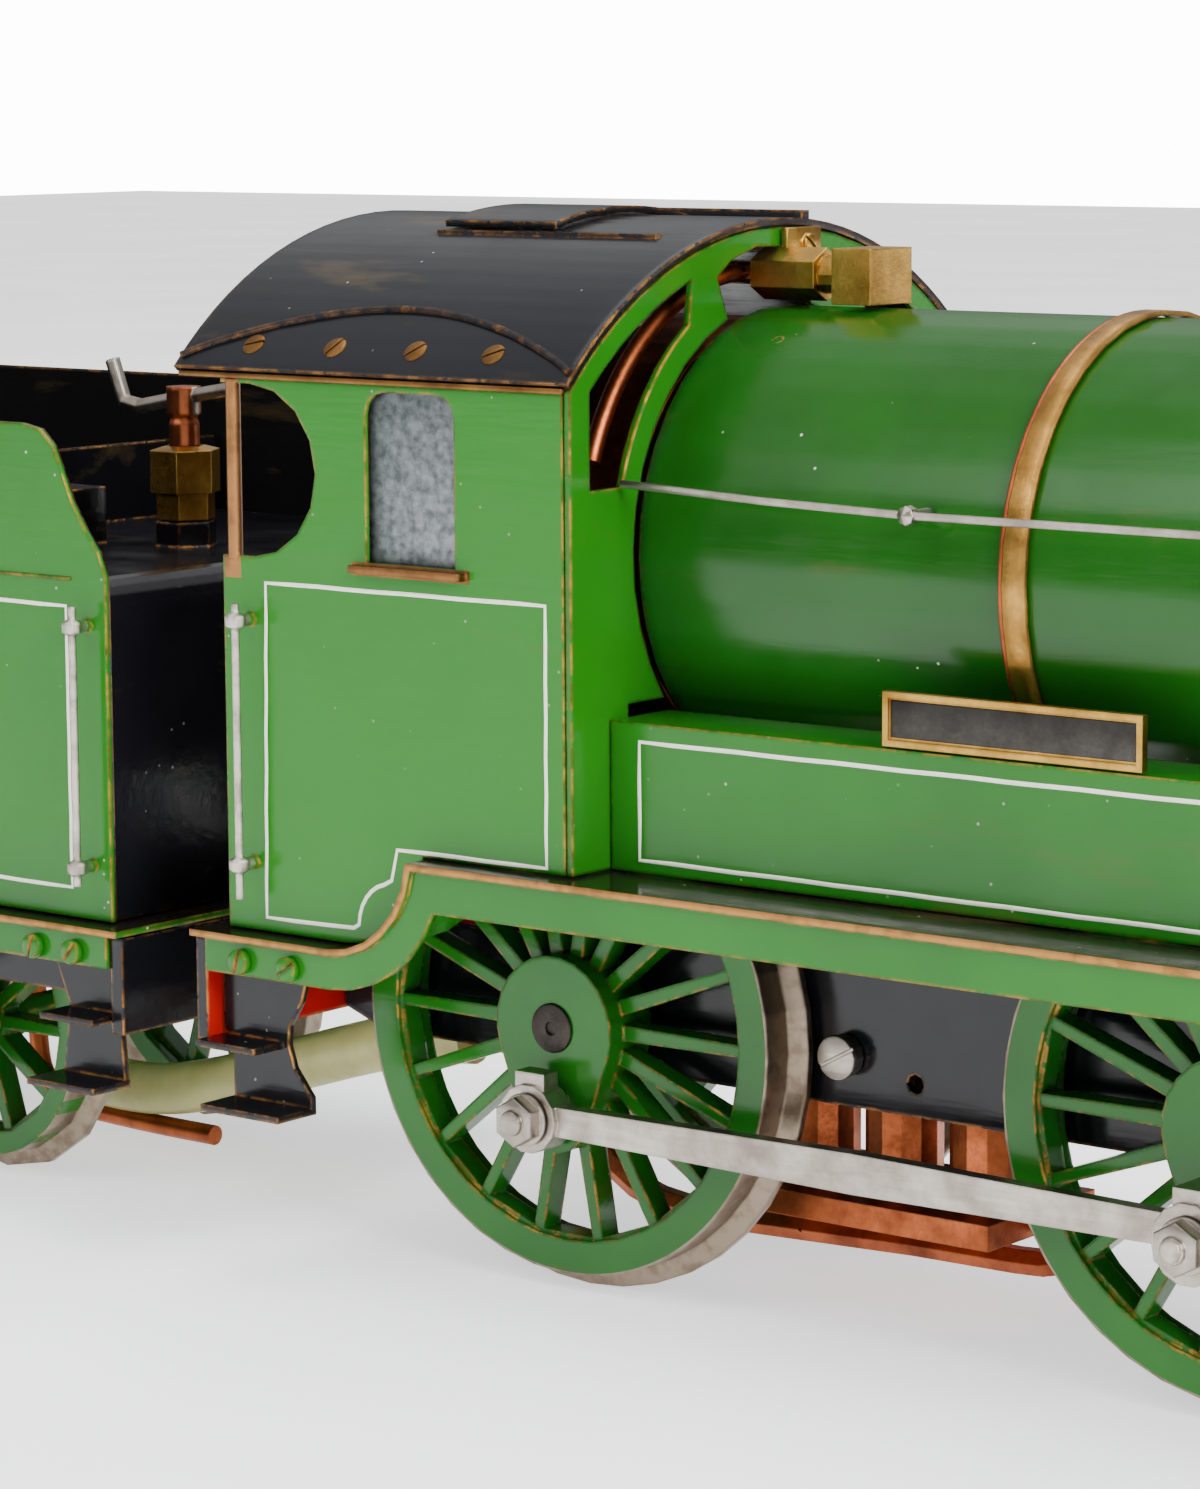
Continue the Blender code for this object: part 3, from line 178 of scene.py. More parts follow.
def corners(tree, coords, rounded, amount):
    """Worn corners: the paint is gone where the rounded normal leaves the flat one, in broken
    stretches."""
    flat = add_node(tree, "NewGeometry")
    agree = add_node(tree, "VectorMath", {"operation": 'DOT_PRODUCT'},
                     {0: rounded, 1: flat.outputs["Normal"]})
    edge = add_node(tree, "MapRange", {}, {"Value": agree.outputs["Value"], "From Min": 0.995,
                                           "From Max": 0.86})
    chips = patches(tree, coords, 2.2, 0.35, 0.65, 4.0)
    both = add_node(tree, "Math", {"operation": 'ADD'}, {0: edge.outputs["Result"], 1: chips})
    return add_node(tree, "MapRange", {}, {"Value": both.outputs[0], "From Min": 1.62 - amount,
                                           "From Max": 1.78 - amount}).outputs["Result"]


def within(tree, coords, low, high):
    """1 inside a box between two corners in metres."""
    low, high = Vector(low), Vector(high)
    middle = add_node(tree, "VectorMath", {"operation": 'SUBTRACT'},
                      {0: coords, 1: (low + high) / 2})
    size = add_node(tree, "VectorMath", {"operation": 'ABSOLUTE'}, {0: middle.outputs[0]})
    over = add_node(tree, "VectorMath", {"operation": 'SUBTRACT'},
                    {0: size.outputs[0], 1: (high - low) / 2})
    parts = add_node(tree, "SeparateXYZ", {}, {0: over.outputs[0]})
    most = add_node(tree, "Math", {"operation": 'MAXIMUM'}, {0: parts.outputs[0], 1: parts.outputs[1]})
    most = add_node(tree, "Math", {"operation": 'MAXIMUM'}, {0: most.outputs[0], 1: parts.outputs[2]})
    return add_node(tree, "Math", {"operation": 'LESS_THAN'}, {0: most.outputs[0], 1: 0.0}).outputs[0]


def beyond(tree, coords, centre, axis, radius):
    """1 further than a radius in metres from a line along Y through a centre (axis Y), or from
    the plane Y = 0 (axis X)."""
    keep = (1.0, 0.0, 1.0) if axis == 'Y' else (0.0, 1.0, 0.0)
    off = add_node(tree, "VectorMath", {"operation": 'SUBTRACT'}, {0: coords, 1: centre})
    flat = add_node(tree, "VectorMath", {"operation": 'MULTIPLY'}, {0: off.outputs[0], 1: keep})
    far = add_node(tree, "VectorMath", {"operation": 'LENGTH'}, {0: flat.outputs[0]})
    return add_node(tree, "Math", {"operation": 'GREATER_THAN'},
                    {0: far.outputs["Value"], 1: radius}).outputs[0]


def blend_colour(tree, factor, first, second):
    """Colour going from first to second with a factor."""
    return add_node(tree, "MixRGB", {}, {"Fac": factor, "Color1": first, "Color2": second}).outputs[0]


def blend_value(tree, factor, first, second):
    """Value going from first to second with a factor."""
    return add_node(tree, "MapRange", {}, {"Value": factor, "To Min": first,
                                           "To Max": second}).outputs["Result"]


def enamel(name, colour, shade, wear, dust="#c9c4b4", bare=(), other=(), soft=0.0):
    """Brushing enamel over sheet brass: glossy, faintly streaked, flecked with dust and worn to
    the metal on its corners. bare lists (mask maker, colour) for stretches with no paint, and
    other lists them for stretches painted another colour. soft is a width in millimetres over
    which a curved piece is shaded round."""
    material, tree, shader, coords = start_material(name, 0.2)
    # Old enamel has lost some of its gloss.
    shader.inputs["Specular IOR Level"].default_value = 0.3
    tone = patches(tree, coords, 45, 0.3, 0.7)
    paint = blend_colour(tree, tone, linear(colour), linear(shade))
    for make_mask, second_colour in other:
        paint = blend_colour(tree, make_mask(tree, coords), paint, linear(second_colour))
    # Dirt has settled in soft brown smears along the length.
    smear = patches(tree, coords, 14, 0.62, 0.95, 5.0, (0.35, 1.0, 1.6))
    paint = blend_colour(tree, smear, paint, linear("#5a4a2c"))
    flecks = specks(tree, coords, 2.6, 0.2, 0.28)
    flecks = add_node(tree, "Math", {"operation": 'MULTIPLY'},
                      {0: flecks, 1: patches(tree, coords, 26, 0.42, 0.7)}).outputs[0]
    paint = blend_colour(tree, flecks, paint, linear(dust))
    metal = blend_colour(tree, patches(tree, coords, 3.0), linear("#b07a3c"), linear("#5d3a1c"))
    rounded = add_node(tree, "Bevel", {"samples": 4}, {"Radius": 0.7 * MM}).outputs[0]
    worn = corners(tree, coords, rounded, wear)
    scars = add_node(tree, "Math", {"operation": 'MULTIPLY'},
                     {0: specks(tree, coords, 17, 1.0, 0.22), 1: patches(tree, coords, 1.6, 0.45, 0.5)})
    worn = add_node(tree, "Math", {"operation": 'MAXIMUM'}, {0: worn, 1: scars.outputs[0]}).outputs[0]
    colours = blend_colour(tree, worn, paint, metal)
    shine = blend_value(tree, patches(tree, coords, 9, 0.3, 0.8), 0.13, 0.27)
    for make_mask, metal_colour in bare:
        mask = make_mask(tree, coords)
        tint = blend_colour(tree, patches(tree, coords, 2.5), linear(metal_colour), linear("#4c3622"))
        fade = blend_value(tree, patches(tree, coords, 5), 0.0, 0.45)
        tint = blend_colour(tree, fade, linear(metal_colour), tint)
        colours = blend_colour(tree, mask, colours, tint)
        worn = add_node(tree, "Math", {"operation": 'MAXIMUM'}, {0: worn, 1: mask}).outputs[0]
    rough = add_node(tree, "MapRange", {}, {"Value": worn, "To Min": shine, "To Max": 0.36})
    tree.links.new(colours, shader.inputs["Base Color"])
    tree.links.new(worn, shader.inputs["Metallic"])
    tree.links.new(rough.outputs["Result"], shader.inputs["Roughness"])
    # Brush strokes a millimetre or so wide, lying along the engine.
    strokes = patches(tree, coords, 1.6, 0.2, 0.8, 2.0, (0.12, 1.0, 1.0))
    height = add_node(tree, "Math", {"operation": 'SUBTRACT'}, {0: strokes, 1: worn})
    if soft:
        rounded = add_node(tree, "Bevel", {"samples": 4}, {"Radius": soft * MM}).outputs[0]
    bump = add_node(tree, "Bump", {}, {"Strength": 0.35, "Distance": 0.00006, "Normal": rounded,
                                       "Height": height.outputs[0]})
    tree.links.new(bump.outputs[0], shader.inputs["Normal"])
    return material


def bare_metal(name, bright, dull, roughness, grain=(1.0, 1.0, 1.0), pits="#2a1c0e",
               pit_share=0.12, soft=0.3):
    """Bare metal: two tones from tarnish, fine tool marks along a grain, and dark pits, with its
    corners rubbed round by soft millimetres."""
    material, tree, shader, coords = start_material(name, roughness, 1.0)
    tarnish = patches(tree, coords, 6, 0.35, 0.7, 5.0)
    colours = blend_colour(tree, tarnish, linear(bright), linear(dull))
    marks = patches(tree, coords, 0.5, 0.2, 0.8, 3.0, grain)
    colours = blend_colour(tree, blend_value(tree, marks, 0.0, 0.25), colours, linear(dull))
    holes = specks(tree, coords, 1.9, 0.26, pit_share)
    colours = blend_colour(tree, holes, colours, linear(pits))
    rough = blend_value(tree, marks, roughness - 0.06, roughness + 0.14)
    tree.links.new(colours, shader.inputs["Base Color"])
    tree.links.new(rough, shader.inputs["Roughness"])
    height = add_node(tree, "Math", {"operation": 'SUBTRACT'}, {0: marks, 1: holes})
    rounded = add_node(tree, "Bevel", {"samples": 4}, {"Radius": soft * MM}).outputs[0]
    bump = add_node(tree, "Bump", {}, {"Strength": 0.3, "Distance": 0.00005, "Normal": rounded,
                                       "Height": height.outputs[0]})
    tree.links.new(bump.outputs[0], shader.inputs["Normal"])
    return material


def silicone():
    """Silicone feed hose: soft, cloudy and pale yellow, so light bleeds through it."""
    material, tree, shader, coords = start_material("silicone_hose", 0.34)
    cloud = patches(tree, coords, 9, 0.3, 0.7)
    tint = blend_colour(tree, cloud, linear("#d3d08f"), linear("#b3ad6c"))
    tree.links.new(tint, shader.inputs["Base Color"])
    shader.inputs["Transmission Weight"].default_value = 0.35
    shader.inputs["IOR"].default_value = 1.41
    shader.inputs["Subsurface Weight"].default_value = 0.3
    shader.inputs["Subsurface Scale"].default_value = 0.004
    bump = add_node(tree, "Bump", {}, {"Strength": 0.2, "Distance": 0.0001, "Height": cloud})
    tree.links.new(bump.outputs[0], shader.inputs["Normal"])
    return material


def line_paint(colour):
    """Lining enamel: off-white, laid on thick with a pen, a little thin in places."""
    material, tree, shader, coords = start_material("lining_enamel", 0.3)
    thin = patches(tree, coords, 3, 0.5, 0.8)
    tint = blend_colour(tree, blend_value(tree, thin, 0.0, 0.35), linear(colour), linear("#9db78c"))
    tree.links.new(tint, shader.inputs["Base Color"])
    return material


def window_metal():
    """Rolled aluminium left in the weather: grey-white, freckled dark with corrosion."""
    material, tree, shader, coords = start_material("weathered_aluminium", 0.5, 0.85)
    freckle = patches(tree, coords, 1.3, 0.35, 0.65, 8.0)
    tint = blend_colour(tree, freckle, linear("#868c8e"), linear("#565b5d"))
    tint = blend_colour(tree, specks(tree, coords, 2.2, 0.4, 0.3), tint, linear("#55595a"))
    tree.links.new(tint, shader.inputs["Base Color"])
    bump = add_node(tree, "Bump", {}, {"Strength": 0.3, "Distance": 0.00005, "Height": freckle})
    tree.links.new(bump.outputs[0], shader.inputs["Normal"])
    return material


def edge_mask(half_width):
    """Mask maker for what stands further than half_width millimetres from the centre line."""
    return lambda tree, coords: beyond(tree, coords, (0.0, 0.0, 0.0), 'X', half_width * MM)


def tread_mask(centre, radius):
    """Mask maker for a wheel's tread and flange, outside a radius in millimetres."""
    return lambda tree, coords: beyond(tree, coords, centre, 'Y', radius * MM)


def facing_mask(direction, least):
    """Mask maker for faces whose normal lies along a direction, to at least a cosine."""
    def make(tree, coords):
        flat = add_node(tree, "NewGeometry")
        agree = add_node(tree, "VectorMath", {"operation": 'DOT_PRODUCT'},
                         {0: flat.outputs["Normal"], 1: direction})
        return add_node(tree, "Math", {"operation": 'GREATER_THAN'},
                        {0: agree.outputs["Value"], 1: least}).outputs[0]
    return make


def inner_mask(half_width):
    """Mask maker for what lies nearer the centre line than half_width millimetres."""
    def make(tree, coords):
        far = beyond(tree, coords, (0.0, 0.0, 0.0), 'X', half_width * MM)
        return add_node(tree, "Math", {"operation": 'SUBTRACT'}, {0: 1.0, 1: far}).outputs[0]
    return make


def box_mask(low, high):
    """Mask maker for the inside of a box, its corners given as for at()."""
    return lambda tree, coords: within(tree, coords, at(*low), at(*high))


def dress(material, *names):
    """Gives CAD nodes a material."""
    for name in names:
        NODES[name].data.materials.clear()
        NODES[name].data.materials.append(material)


def made_once(name, maker):
    """The material of that name, made by maker the first time."""
    return bpy.data.materials.get(name) or maker()


def brass():
    return made_once("cast_brass", lambda: bare_metal("cast_brass", "#d2a653", "#8f6a2c", 0.3))


def browned_brass():
    return made_once("browned_brass", lambda: bare_metal("browned_brass", "#8a6236", "#54391d", 0.4))


def copper():
    return made_once("drawn_copper", lambda: bare_metal("drawn_copper", "#b8643c", "#70371f", 0.36))


def steel():
    return made_once("brushed_steel", lambda: bare_metal(
        "brushed_steel", "#b9b0a6", "#857a70", 0.3, (0.06, 1.0, 1.0), "#5b4c40", 0.05))


def dark_iron():
    return made_once("oily_iron", lambda: bare_metal("oily_iron", "#4a4541", "#2a2522", 0.42))


def black_enamel(settings):
    return made_once("black_enamel", lambda: enamel(
        "black_enamel", settings.black, "#0b0b0e", settings.wear - 0.12, "#8f8a7c"))


def green_enamel(settings):
    return made_once("green_enamel", lambda: enamel(
        "green_enamel", settings.green, "#175f0f", settings.wear))


# ---------------------------------------------------------------- making pieces

def deselect():
    """Leaves nothing selected, in object mode."""
    if bpy.context.object and bpy.context.object.mode != 'OBJECT':
        bpy.ops.object.mode_set(mode='OBJECT')
    bpy.ops.object.select_all(action='DESELECT')


def settle(obj, name, body, material, angle=35.0):
    """Names a finished piece, applies its place, shades it and sets it riding on any body."""
    deselect()
    obj.select_set(True)
    bpy.context.view_layer.objects.active = obj
    if obj.type != 'MESH':
        bpy.ops.object.convert(target='MESH')
        obj = bpy.context.object
    bpy.ops.object.transform_apply(location=True, rotation=True, scale=True)
    for modifier in list(obj.modifiers):
        bpy.ops.object.modifier_apply(modifier=modifier.name)
    bpy.ops.object.shade_smooth_by_angle(angle=radians(angle))
    obj.name = name
    obj.data.name = name
    obj.data.materials.clear()
    obj.data.materials.append(material)
    if body:
        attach(obj, body)
    return obj


def merge(objects):
    """Joins objects into the first."""
    deselect()
    for obj in objects:
        obj.select_set(True)
    bpy.context.view_layer.objects.active = objects[0]
    if len(objects) > 1:
        bpy.ops.object.join()
    return bpy.context.object


def copy_of(obj):
    """A copy with its own mesh, linked to the scene."""
    copy = obj.copy()
    copy.data = obj.data.copy()
    bpy.context.scene.collection.objects.link(copy)
    return copy


def rounded_bar(low, high, bevel):
    """A bar between two corners given as for at(), its edges rounded by bevel millimetres."""
    start, end = at(*low), at(*high)
    deselect()
    bpy.ops.mesh.primitive_cube_add(size=1, location=(start + end) / 2)
    bar = bpy.context.object
    bar.scale = [abs(v) for v in end - start]
    bpy.ops.object.transform_apply(location=True, rotation=True, scale=True)
    bpy.ops.object.mode_set(mode='EDIT')
    bpy.ops.mesh.select_all(action='SELECT')
    bpy.ops.mesh.bevel(offset=bevel * MM, segments=2, affect='EDGES')
    bpy.ops.object.mode_set(mode='OBJECT')
    return bar


def disc(radius, depth, sides, where, facing, bevel):
    """A short round or hexagonal piece facing along a direction, with its rims bevelled."""
    deselect()
    turn = Vector((0, 0, 1)).rotation_difference(Vector(facing)).to_euler()
    bpy.ops.mesh.primitive_cylinder_add(vertices=sides, radius=radius * MM, depth=depth * MM,
                                        location=where, rotation=turn)
    made = bpy.context.object
    bpy.ops.object.transform_apply(location=True, rotation=True, scale=True)
    bpy.ops.object.mode_set(mode='EDIT')
    bpy.ops.mesh.select_mode(type='FACE')
    bpy.ops.mesh.select_all(action='DESELECT')
    mesh = bmesh.from_edit_mesh(made.data)
    for face in mesh.faces:
        face.select = abs(face.normal.dot(Vector(facing))) > 0.9
    bmesh.update_edit_mesh(made.data)
    bpy.ops.mesh.region_to_loop()
    bpy.ops.mesh.bevel(offset=bevel * MM, segments=2, affect='EDGES')
    bpy.ops.object.mode_set(mode='OBJECT')
    return made


def wire(points, radius, closed=False, sides=4):
    """A round wire through points in frame metres."""
    curve = bpy.data.curves.new("wire", 'CURVE')
    curve.dimensions = '3D'
    curve.bevel_depth = radius * MM
    curve.bevel_resolution = sides
    curve.use_fill_caps = not closed
    spline = curve.splines.new('POLY')
    spline.points.add(len(points) - 1)
    for point, where in zip(spline.points, points):
        point.co = (*where, 1.0)
    spline.use_cyclic_u = closed
    obj = bpy.data.objects.new("wire", curve)
    bpy.context.scene.collection.objects.link(obj)
    return obj


def curve_through(points, steps):
    """A smooth curve through points, with so many steps between each pair."""
    ends = [points[0]] + list(points) + [points[-1]]
    found = []
    for i in range(len(points) - 1):
        a, b, c, d = (Vector(p) for p in ends[i:i + 4])
        for k in range(steps):
            t = k / steps
            found.append(0.5 * (2 * b + (c - a) * t + (2 * a - 5 * b + 4 * c - d) * t * t
                                + (3 * b - a - 3 * c + d) * t ** 3))
    found.append(Vector(points[-1]))
    return found


def slotted_screw(where, facing, radius, slot_turn):
    """A cheese-head screw with its slot, half sunk into the plate it holds."""
    direction = Vector(facing).normalized()
    head = disc(radius / MM, 1.3, 24, where, facing, 0.28)
    deselect()
    turn = Vector((0, 0, 1)).rotation_difference(direction).to_matrix()
    turn = turn @ Matrix.Rotation(slot_turn, 3, 'Z')
    bpy.ops.mesh.primitive_cube_add(size=1, location=Vector(where) + direction * 0.65 * MM,
                                    rotation=turn.to_euler())
    blade = bpy.context.object
    blade.scale = (radius * 2.6, 0.42 * MM, 0.8 * MM)
    slot = head.modifiers.new("slot", 'BOOLEAN')
    slot.operation = 'DIFFERENCE'
    slot.solver = 'EXACT'
    slot.object = blade
    deselect()
    head.select_set(True)
    bpy.context.view_layer.objects.active = head
    bpy.ops.object.modifier_apply(modifier=slot.name)
    bpy.data.objects.remove(blade, do_unlink=True)
    return head


def rivets(places, facing, radius):
    """Low round rivet heads at a list of places, as one mesh."""
    deselect()
    first = None
    heads = []
    for where, normal in zip(places, facing):
        if first is None:
            bpy.ops.mesh.primitive_uv_sphere_add(segments=8, ring_count=6, radius=radius)
            first = bpy.context.object
            head = first
        else:
            head = copy_of(first)
        turn = Vector((0, 0, 1)).rotation_difference(Vector(normal)).to_matrix().to_4x4()
        head.matrix_world = Matrix.Translation(where) @ turn @ Matrix.Diagonal((1, 1, 0.55, 1))
        heads.append(head)
    return merge(heads)


def painted_line(name, route, y, body, width, material):
    """A hand-drawn line along an X and Z route, closed on itself, on an upright side."""
    points = []
    count = len(route)
    for i in range(count):
        start, end = Vector(route[i]), Vector(route[(i + 1) % count])
        steps = max(1, round((end - start).length / 5))
        for k in range(steps):
            x, z = start.lerp(end, k / steps)
            drift = 0.05 * sin(x * 0.37 + z * 0.61)
            points.append(at(x + drift, y, z + 0.8 * drift))
    line = wire(points, width / MM / 2, closed=True, sides=2)
    deselect()
    line.select_set(True)
    bpy.context.view_layer.objects.active = line
    bpy.ops.object.convert(target='MESH')
    line = bpy.context.object
    bpy.ops.object.mode_set(mode='EDIT')
    bpy.ops.mesh.select_all(action='SELECT')
    bpy.ops.transform.resize(value=(1.0, 0.22, 1.0), center_override=(0, y * MM, 0))
    bpy.ops.object.mode_set(mode='OBJECT')
    return settle(line, name, body, material, 60.0)


# ---------------------------------------------------------------- operators

class LOCO_OT_stage(bpy.types.Operator):
    """Lays the pale floor and sets the soft lights and the camera"""
    bl_idname = "loco.stage"
    bl_label = "Stage"

    def execute(self, context):
        size = context.scene.loco_fittings.floor_size
        deselect()
        bpy.ops.mesh.primitive_plane_add(size=size, location=(0, 0, CAD_BOX[0][2] - 0.0001))
        floor = context.object
        floor.name = "floor"
        material, tree, shader, coords = start_material("matt_paper", 0.75)
        tone = blend_colour(tree, patches(tree, coords, 160), linear("#f7f7f9"), linear("#f1f1f3"))
        tree.links.new(tone, shader.inputs["Base Color"])
        # Light comes up through the paper, as on a light table.
        tree.links.new(tone, shader.inputs["Emission Color"])
        shader.inputs["Emission Strength"].default_value = 1.1
        floor.data.materials.append(material)
        world = context.scene.world or bpy.data.worlds.new("studio")
        context.scene.world = world
        world.use_nodes = True
        self.room(world.node_tree)
        lamps = (("key", (-0.5, -1.3, 1.3), 1.0, 12.0), ("fill", (1.6, -0.5, 0.9), 0.8, 42.0),
                 ("top", (0.1, 0.25, 1.5), 1.4, 30.0))
        for name, where, width, power in lamps:
            light = bpy.data.lights.new(name, 'AREA')
            light.energy = power
            light.size = width
            lamp = bpy.data.objects.new(name, light)
            lamp.location = where
            lamp.rotation_euler = (Vector((0.05, 0, 0.07)) - lamp.location).to_track_quat(
                '-Z', 'Y').to_euler()
            context.scene.collection.objects.link(lamp)
        turn, dip, roll = radians(38.7792), radians(8.3311), radians(-0.3664)
        ahead = Vector((-sin(turn) * cos(dip), cos(turn) * cos(dip), -sin(dip)))
        across = Vector((cos(turn), sin(turn), 0))
        upward = across.cross(ahead)
        right = across * cos(roll) + upward * sin(roll)
        upward = upward * cos(roll) - across * sin(roll)
        data = bpy.data.cameras.new("camera")
        data.sensor_width = 36.0
        data.lens = 111.95
        data.clip_start = 0.02
        camera = bpy.data.objects.new("camera", data)
        basis = Matrix((right, upward, -ahead)).transposed()
        camera.matrix_world = Matrix.Translation(at(377.757, -489.001, 158.162)) @ basis.to_4x4()
        context.scene.collection.objects.link(camera)
        context.scene.camera = camera
        return {'FINISHED'}

    def room(self, tree):
        """White round the top of the room and darker towards the floor; white to the camera."""
        sky = tree.nodes["Background"]
        way = add_node(tree, "TexCoord").outputs["Generated"]
        height = add_node(tree, "SeparateXYZ", {}, {0: way}).outputs[2]
        rise = add_node(tree, "MapRange", {}, {"Value": height, "From Min": 0.02, "From Max": 0.5,
                                               "To Min": 0.08, "To Max": 0.7})
        seen = add_node(tree, "LightPath").outputs["Is Camera Ray"]
        level = blend_value(tree, seen, rise.outputs[0], 14.0)
        sky.inputs["Color"].default_value = (0.98, 0.99, 1.0, 1.0)
        tree.links.new(level, sky.inputs["Strength"])


class LOCO_OT_wheels(bpy.types.Operator):
    """Paints the wheels, and fits the crank nuts and the axle ends"""
    bl_idname = "loco.wheels"
    bl_label = "Wheels and rods"

    def execute(self, context):
        finish = context.scene.loco_finish
        fittings = context.scene.loco_fittings
        wheels = (("rear", "rear_driving_wheels", 0.0, 34.9),
                  ("lead", "leading_driving_wheels", 102.8, 38.9))
        for label, body, x, nut_y in wheels:
            centre = at(x, 0, DRIVER_R)
            paint = enamel(f"{label}_wheel_enamel", finish.green, "#13500c", finish.wear - 0.25,
                           bare=[(tread_mask(centre, DRIVER_R - 0.35), "#8a7c6c"),
                                 (edge_mask(29.25), "#b5aba0")])
            dress(paint, f"{label}_driving_wheel_right", f"{label}_driving_wheel_left")
            for side, sign in SIDES:
                crank = radians(270.0 if sign < 0 else 0.0)
                pin = (x + 11.2 * cos(crank), DRIVER_R + 11.2 * sin(crank))
                self.crank_nut(fittings, f"{label}_crank_nut_{side}", pin, sign, nut_y, body)
                self.axle_end(f"{label}_axle_end_{side}", x, sign, body)
        dress(dark_iron(), "rear_driving_axle", "lead_driving_axle")
        carrying = [("bogie_wheelset_front", 18.0), ("bogie_wheelset_rear", 18.0),
                    ("tender_wheelset_1", 20.5), ("tender_wheelset_2", 20.5),
                    ("tender_wheelset_3", 20.5)]
        for name, radius in carrying:
            low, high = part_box(name)
            paint = enamel(name + "_enamel", finish.green, "#13500c", finish.wear - 0.25,
                           bare=[(tread_mask((low + high) / 2, radius - 0.35), "#8a7c6c"),
                                 (edge_mask(28.3), "#8f857a")])
            dress(paint, name)
        dress(steel(), "coupling_rod_right", "coupling_rod_left")
        return {'FINISHED'}

    def crank_nut(self, fittings, name, pin, sign, nut_y, body):
        facing = (0, sign, 0)
        radius = fittings.nut_size / MM / sqrt(3)
        parts = [disc(3.5, 0.5, 32, at(pin[0], sign * (nut_y + 0.25), pin[1]), facing, 0.12),
                 disc(radius, 2.2, 6, at(pin[0], sign * (nut_y + 1.5), pin[1]), facing, 0.3),
                 disc(1.7, 0.9, 16, at(pin[0], sign * (nut_y + 2.9), pin[1]), facing, 0.3)]
        settle(merge(parts), name, body, steel(), 30.0)

    def axle_end(self, name, x, sign, body):
        facing = (0, sign, 0)
        end = disc(3.3, 0.8, 32, at(x, sign * 29.15, DRIVER_R), facing, 0.2)
        deselect()
        bpy.ops.mesh.primitive_cylinder_add(vertices=20, radius=0.9 * MM, depth=2 * MM,
                                            location=at(x, sign * 30.2, DRIVER_R),
                                            rotation=(pi / 2, 0, 0))
        drill = bpy.context.object
        centre = end.modifiers.new("centre", 'BOOLEAN')
        centre.operation = 'DIFFERENCE'
        centre.solver = 'EXACT'
        centre.object = drill
        deselect()
        end.select_set(True)
        bpy.context.view_layer.objects.active = end
        bpy.ops.object.modifier_apply(modifier=centre.name)
        bpy.data.objects.remove(drill, do_unlink=True)
        settle(end, name, body, dark_iron(), 30.0)


class LOCO_OT_frames(bpy.types.Operator):
    """Paints the frames, running plates and beams, and dresses the burner and its pipes"""
    bl_idname = "loco.frames"
    bl_label = "Frames and burner"

    def execute(self, context):
        finish = context.scene.loco_finish
        black = black_enamel(finish)
        drag = enamel("drag_beam_enamel", finish.black, "#0b0b0e", finish.wear,
                      other=[(facing_mask((1.0, 0.0, 0.0), 0.7), "#b5130c")])
        dress(drag, "drag_beam")
        dress(black, "main_frame_right", "main_frame_left", "front_buffer_beam",
              "cylinder_saddle", "bogie_frame", "cab_step_right", "cab_step_left",
              "tender_front_beam", "tender_rear_beam")
        plate = enamel("running_plate_enamel", finish.green, "#175f0f", finish.wear,
                       bare=[(edge_mask(47.72), "#a97a45")],
                       other=[(facing_mask((0.0, 0.0, 1.0), 0.8), "#17160f")])
        dress(plate, "running_plate_right", "running_plate_left", "tender_footplate")
        dress(dark_iron(), "firebox")
        dress(copper(), "spirit_burner", "spirit_pipe")
        dress(steel(), "frame_spacer")
        radius = context.scene.loco_fittings.screw_radius
        for side, sign in SIDES:
            facing = (0, sign, 0)
            head = slotted_screw(at(40.4, sign * 21.3, DRIVER_R), facing, 2.9 * MM, 0.5)
            settle(head, f"stay_screw_{side}", "locomotive", steel())
            screws = [slotted_screw(at(x, sign * 47.75, 40.7), facing, radius, turn)
                      for x, turn in ((-38.5, 1.3), (-29.9, 0.6))]
            settle(merge(screws), f"valance_screws_{side}", "locomotive", green_enamel(finish))
        self.hose()
        drip = [(-126, 0, 30), (-126, 0, 12), (-124, 0, 5), (-118, 0, 2.0), (-104, 0, 1.2),
                (-89, 0, 1.1)]
        pipe = wire([at(*p) for p in curve_through(drip, 5)], 1.5, sides=5)
        settle(pipe, "drain_pipe", "tender", copper())
        return {'FINISHED'}

    def hose(self):
        route = [(-117, 0, 7.2), (-108, 0, 6.4), (-98, 0, 7.0), (-86, 0, 9.8), (-72, 0, 14.2),
                 (-58, 0, 18.6), (-47, 0, 21.4), (-38.2, 0, 22.5)]
        hose = wire([at(*p) for p in curve_through(route, 6)], 3.9, sides=6)
        hose = settle(hose, "feed_hose", None, silicone(), 50.0)
        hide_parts("spirit_hose")
        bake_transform(hose)


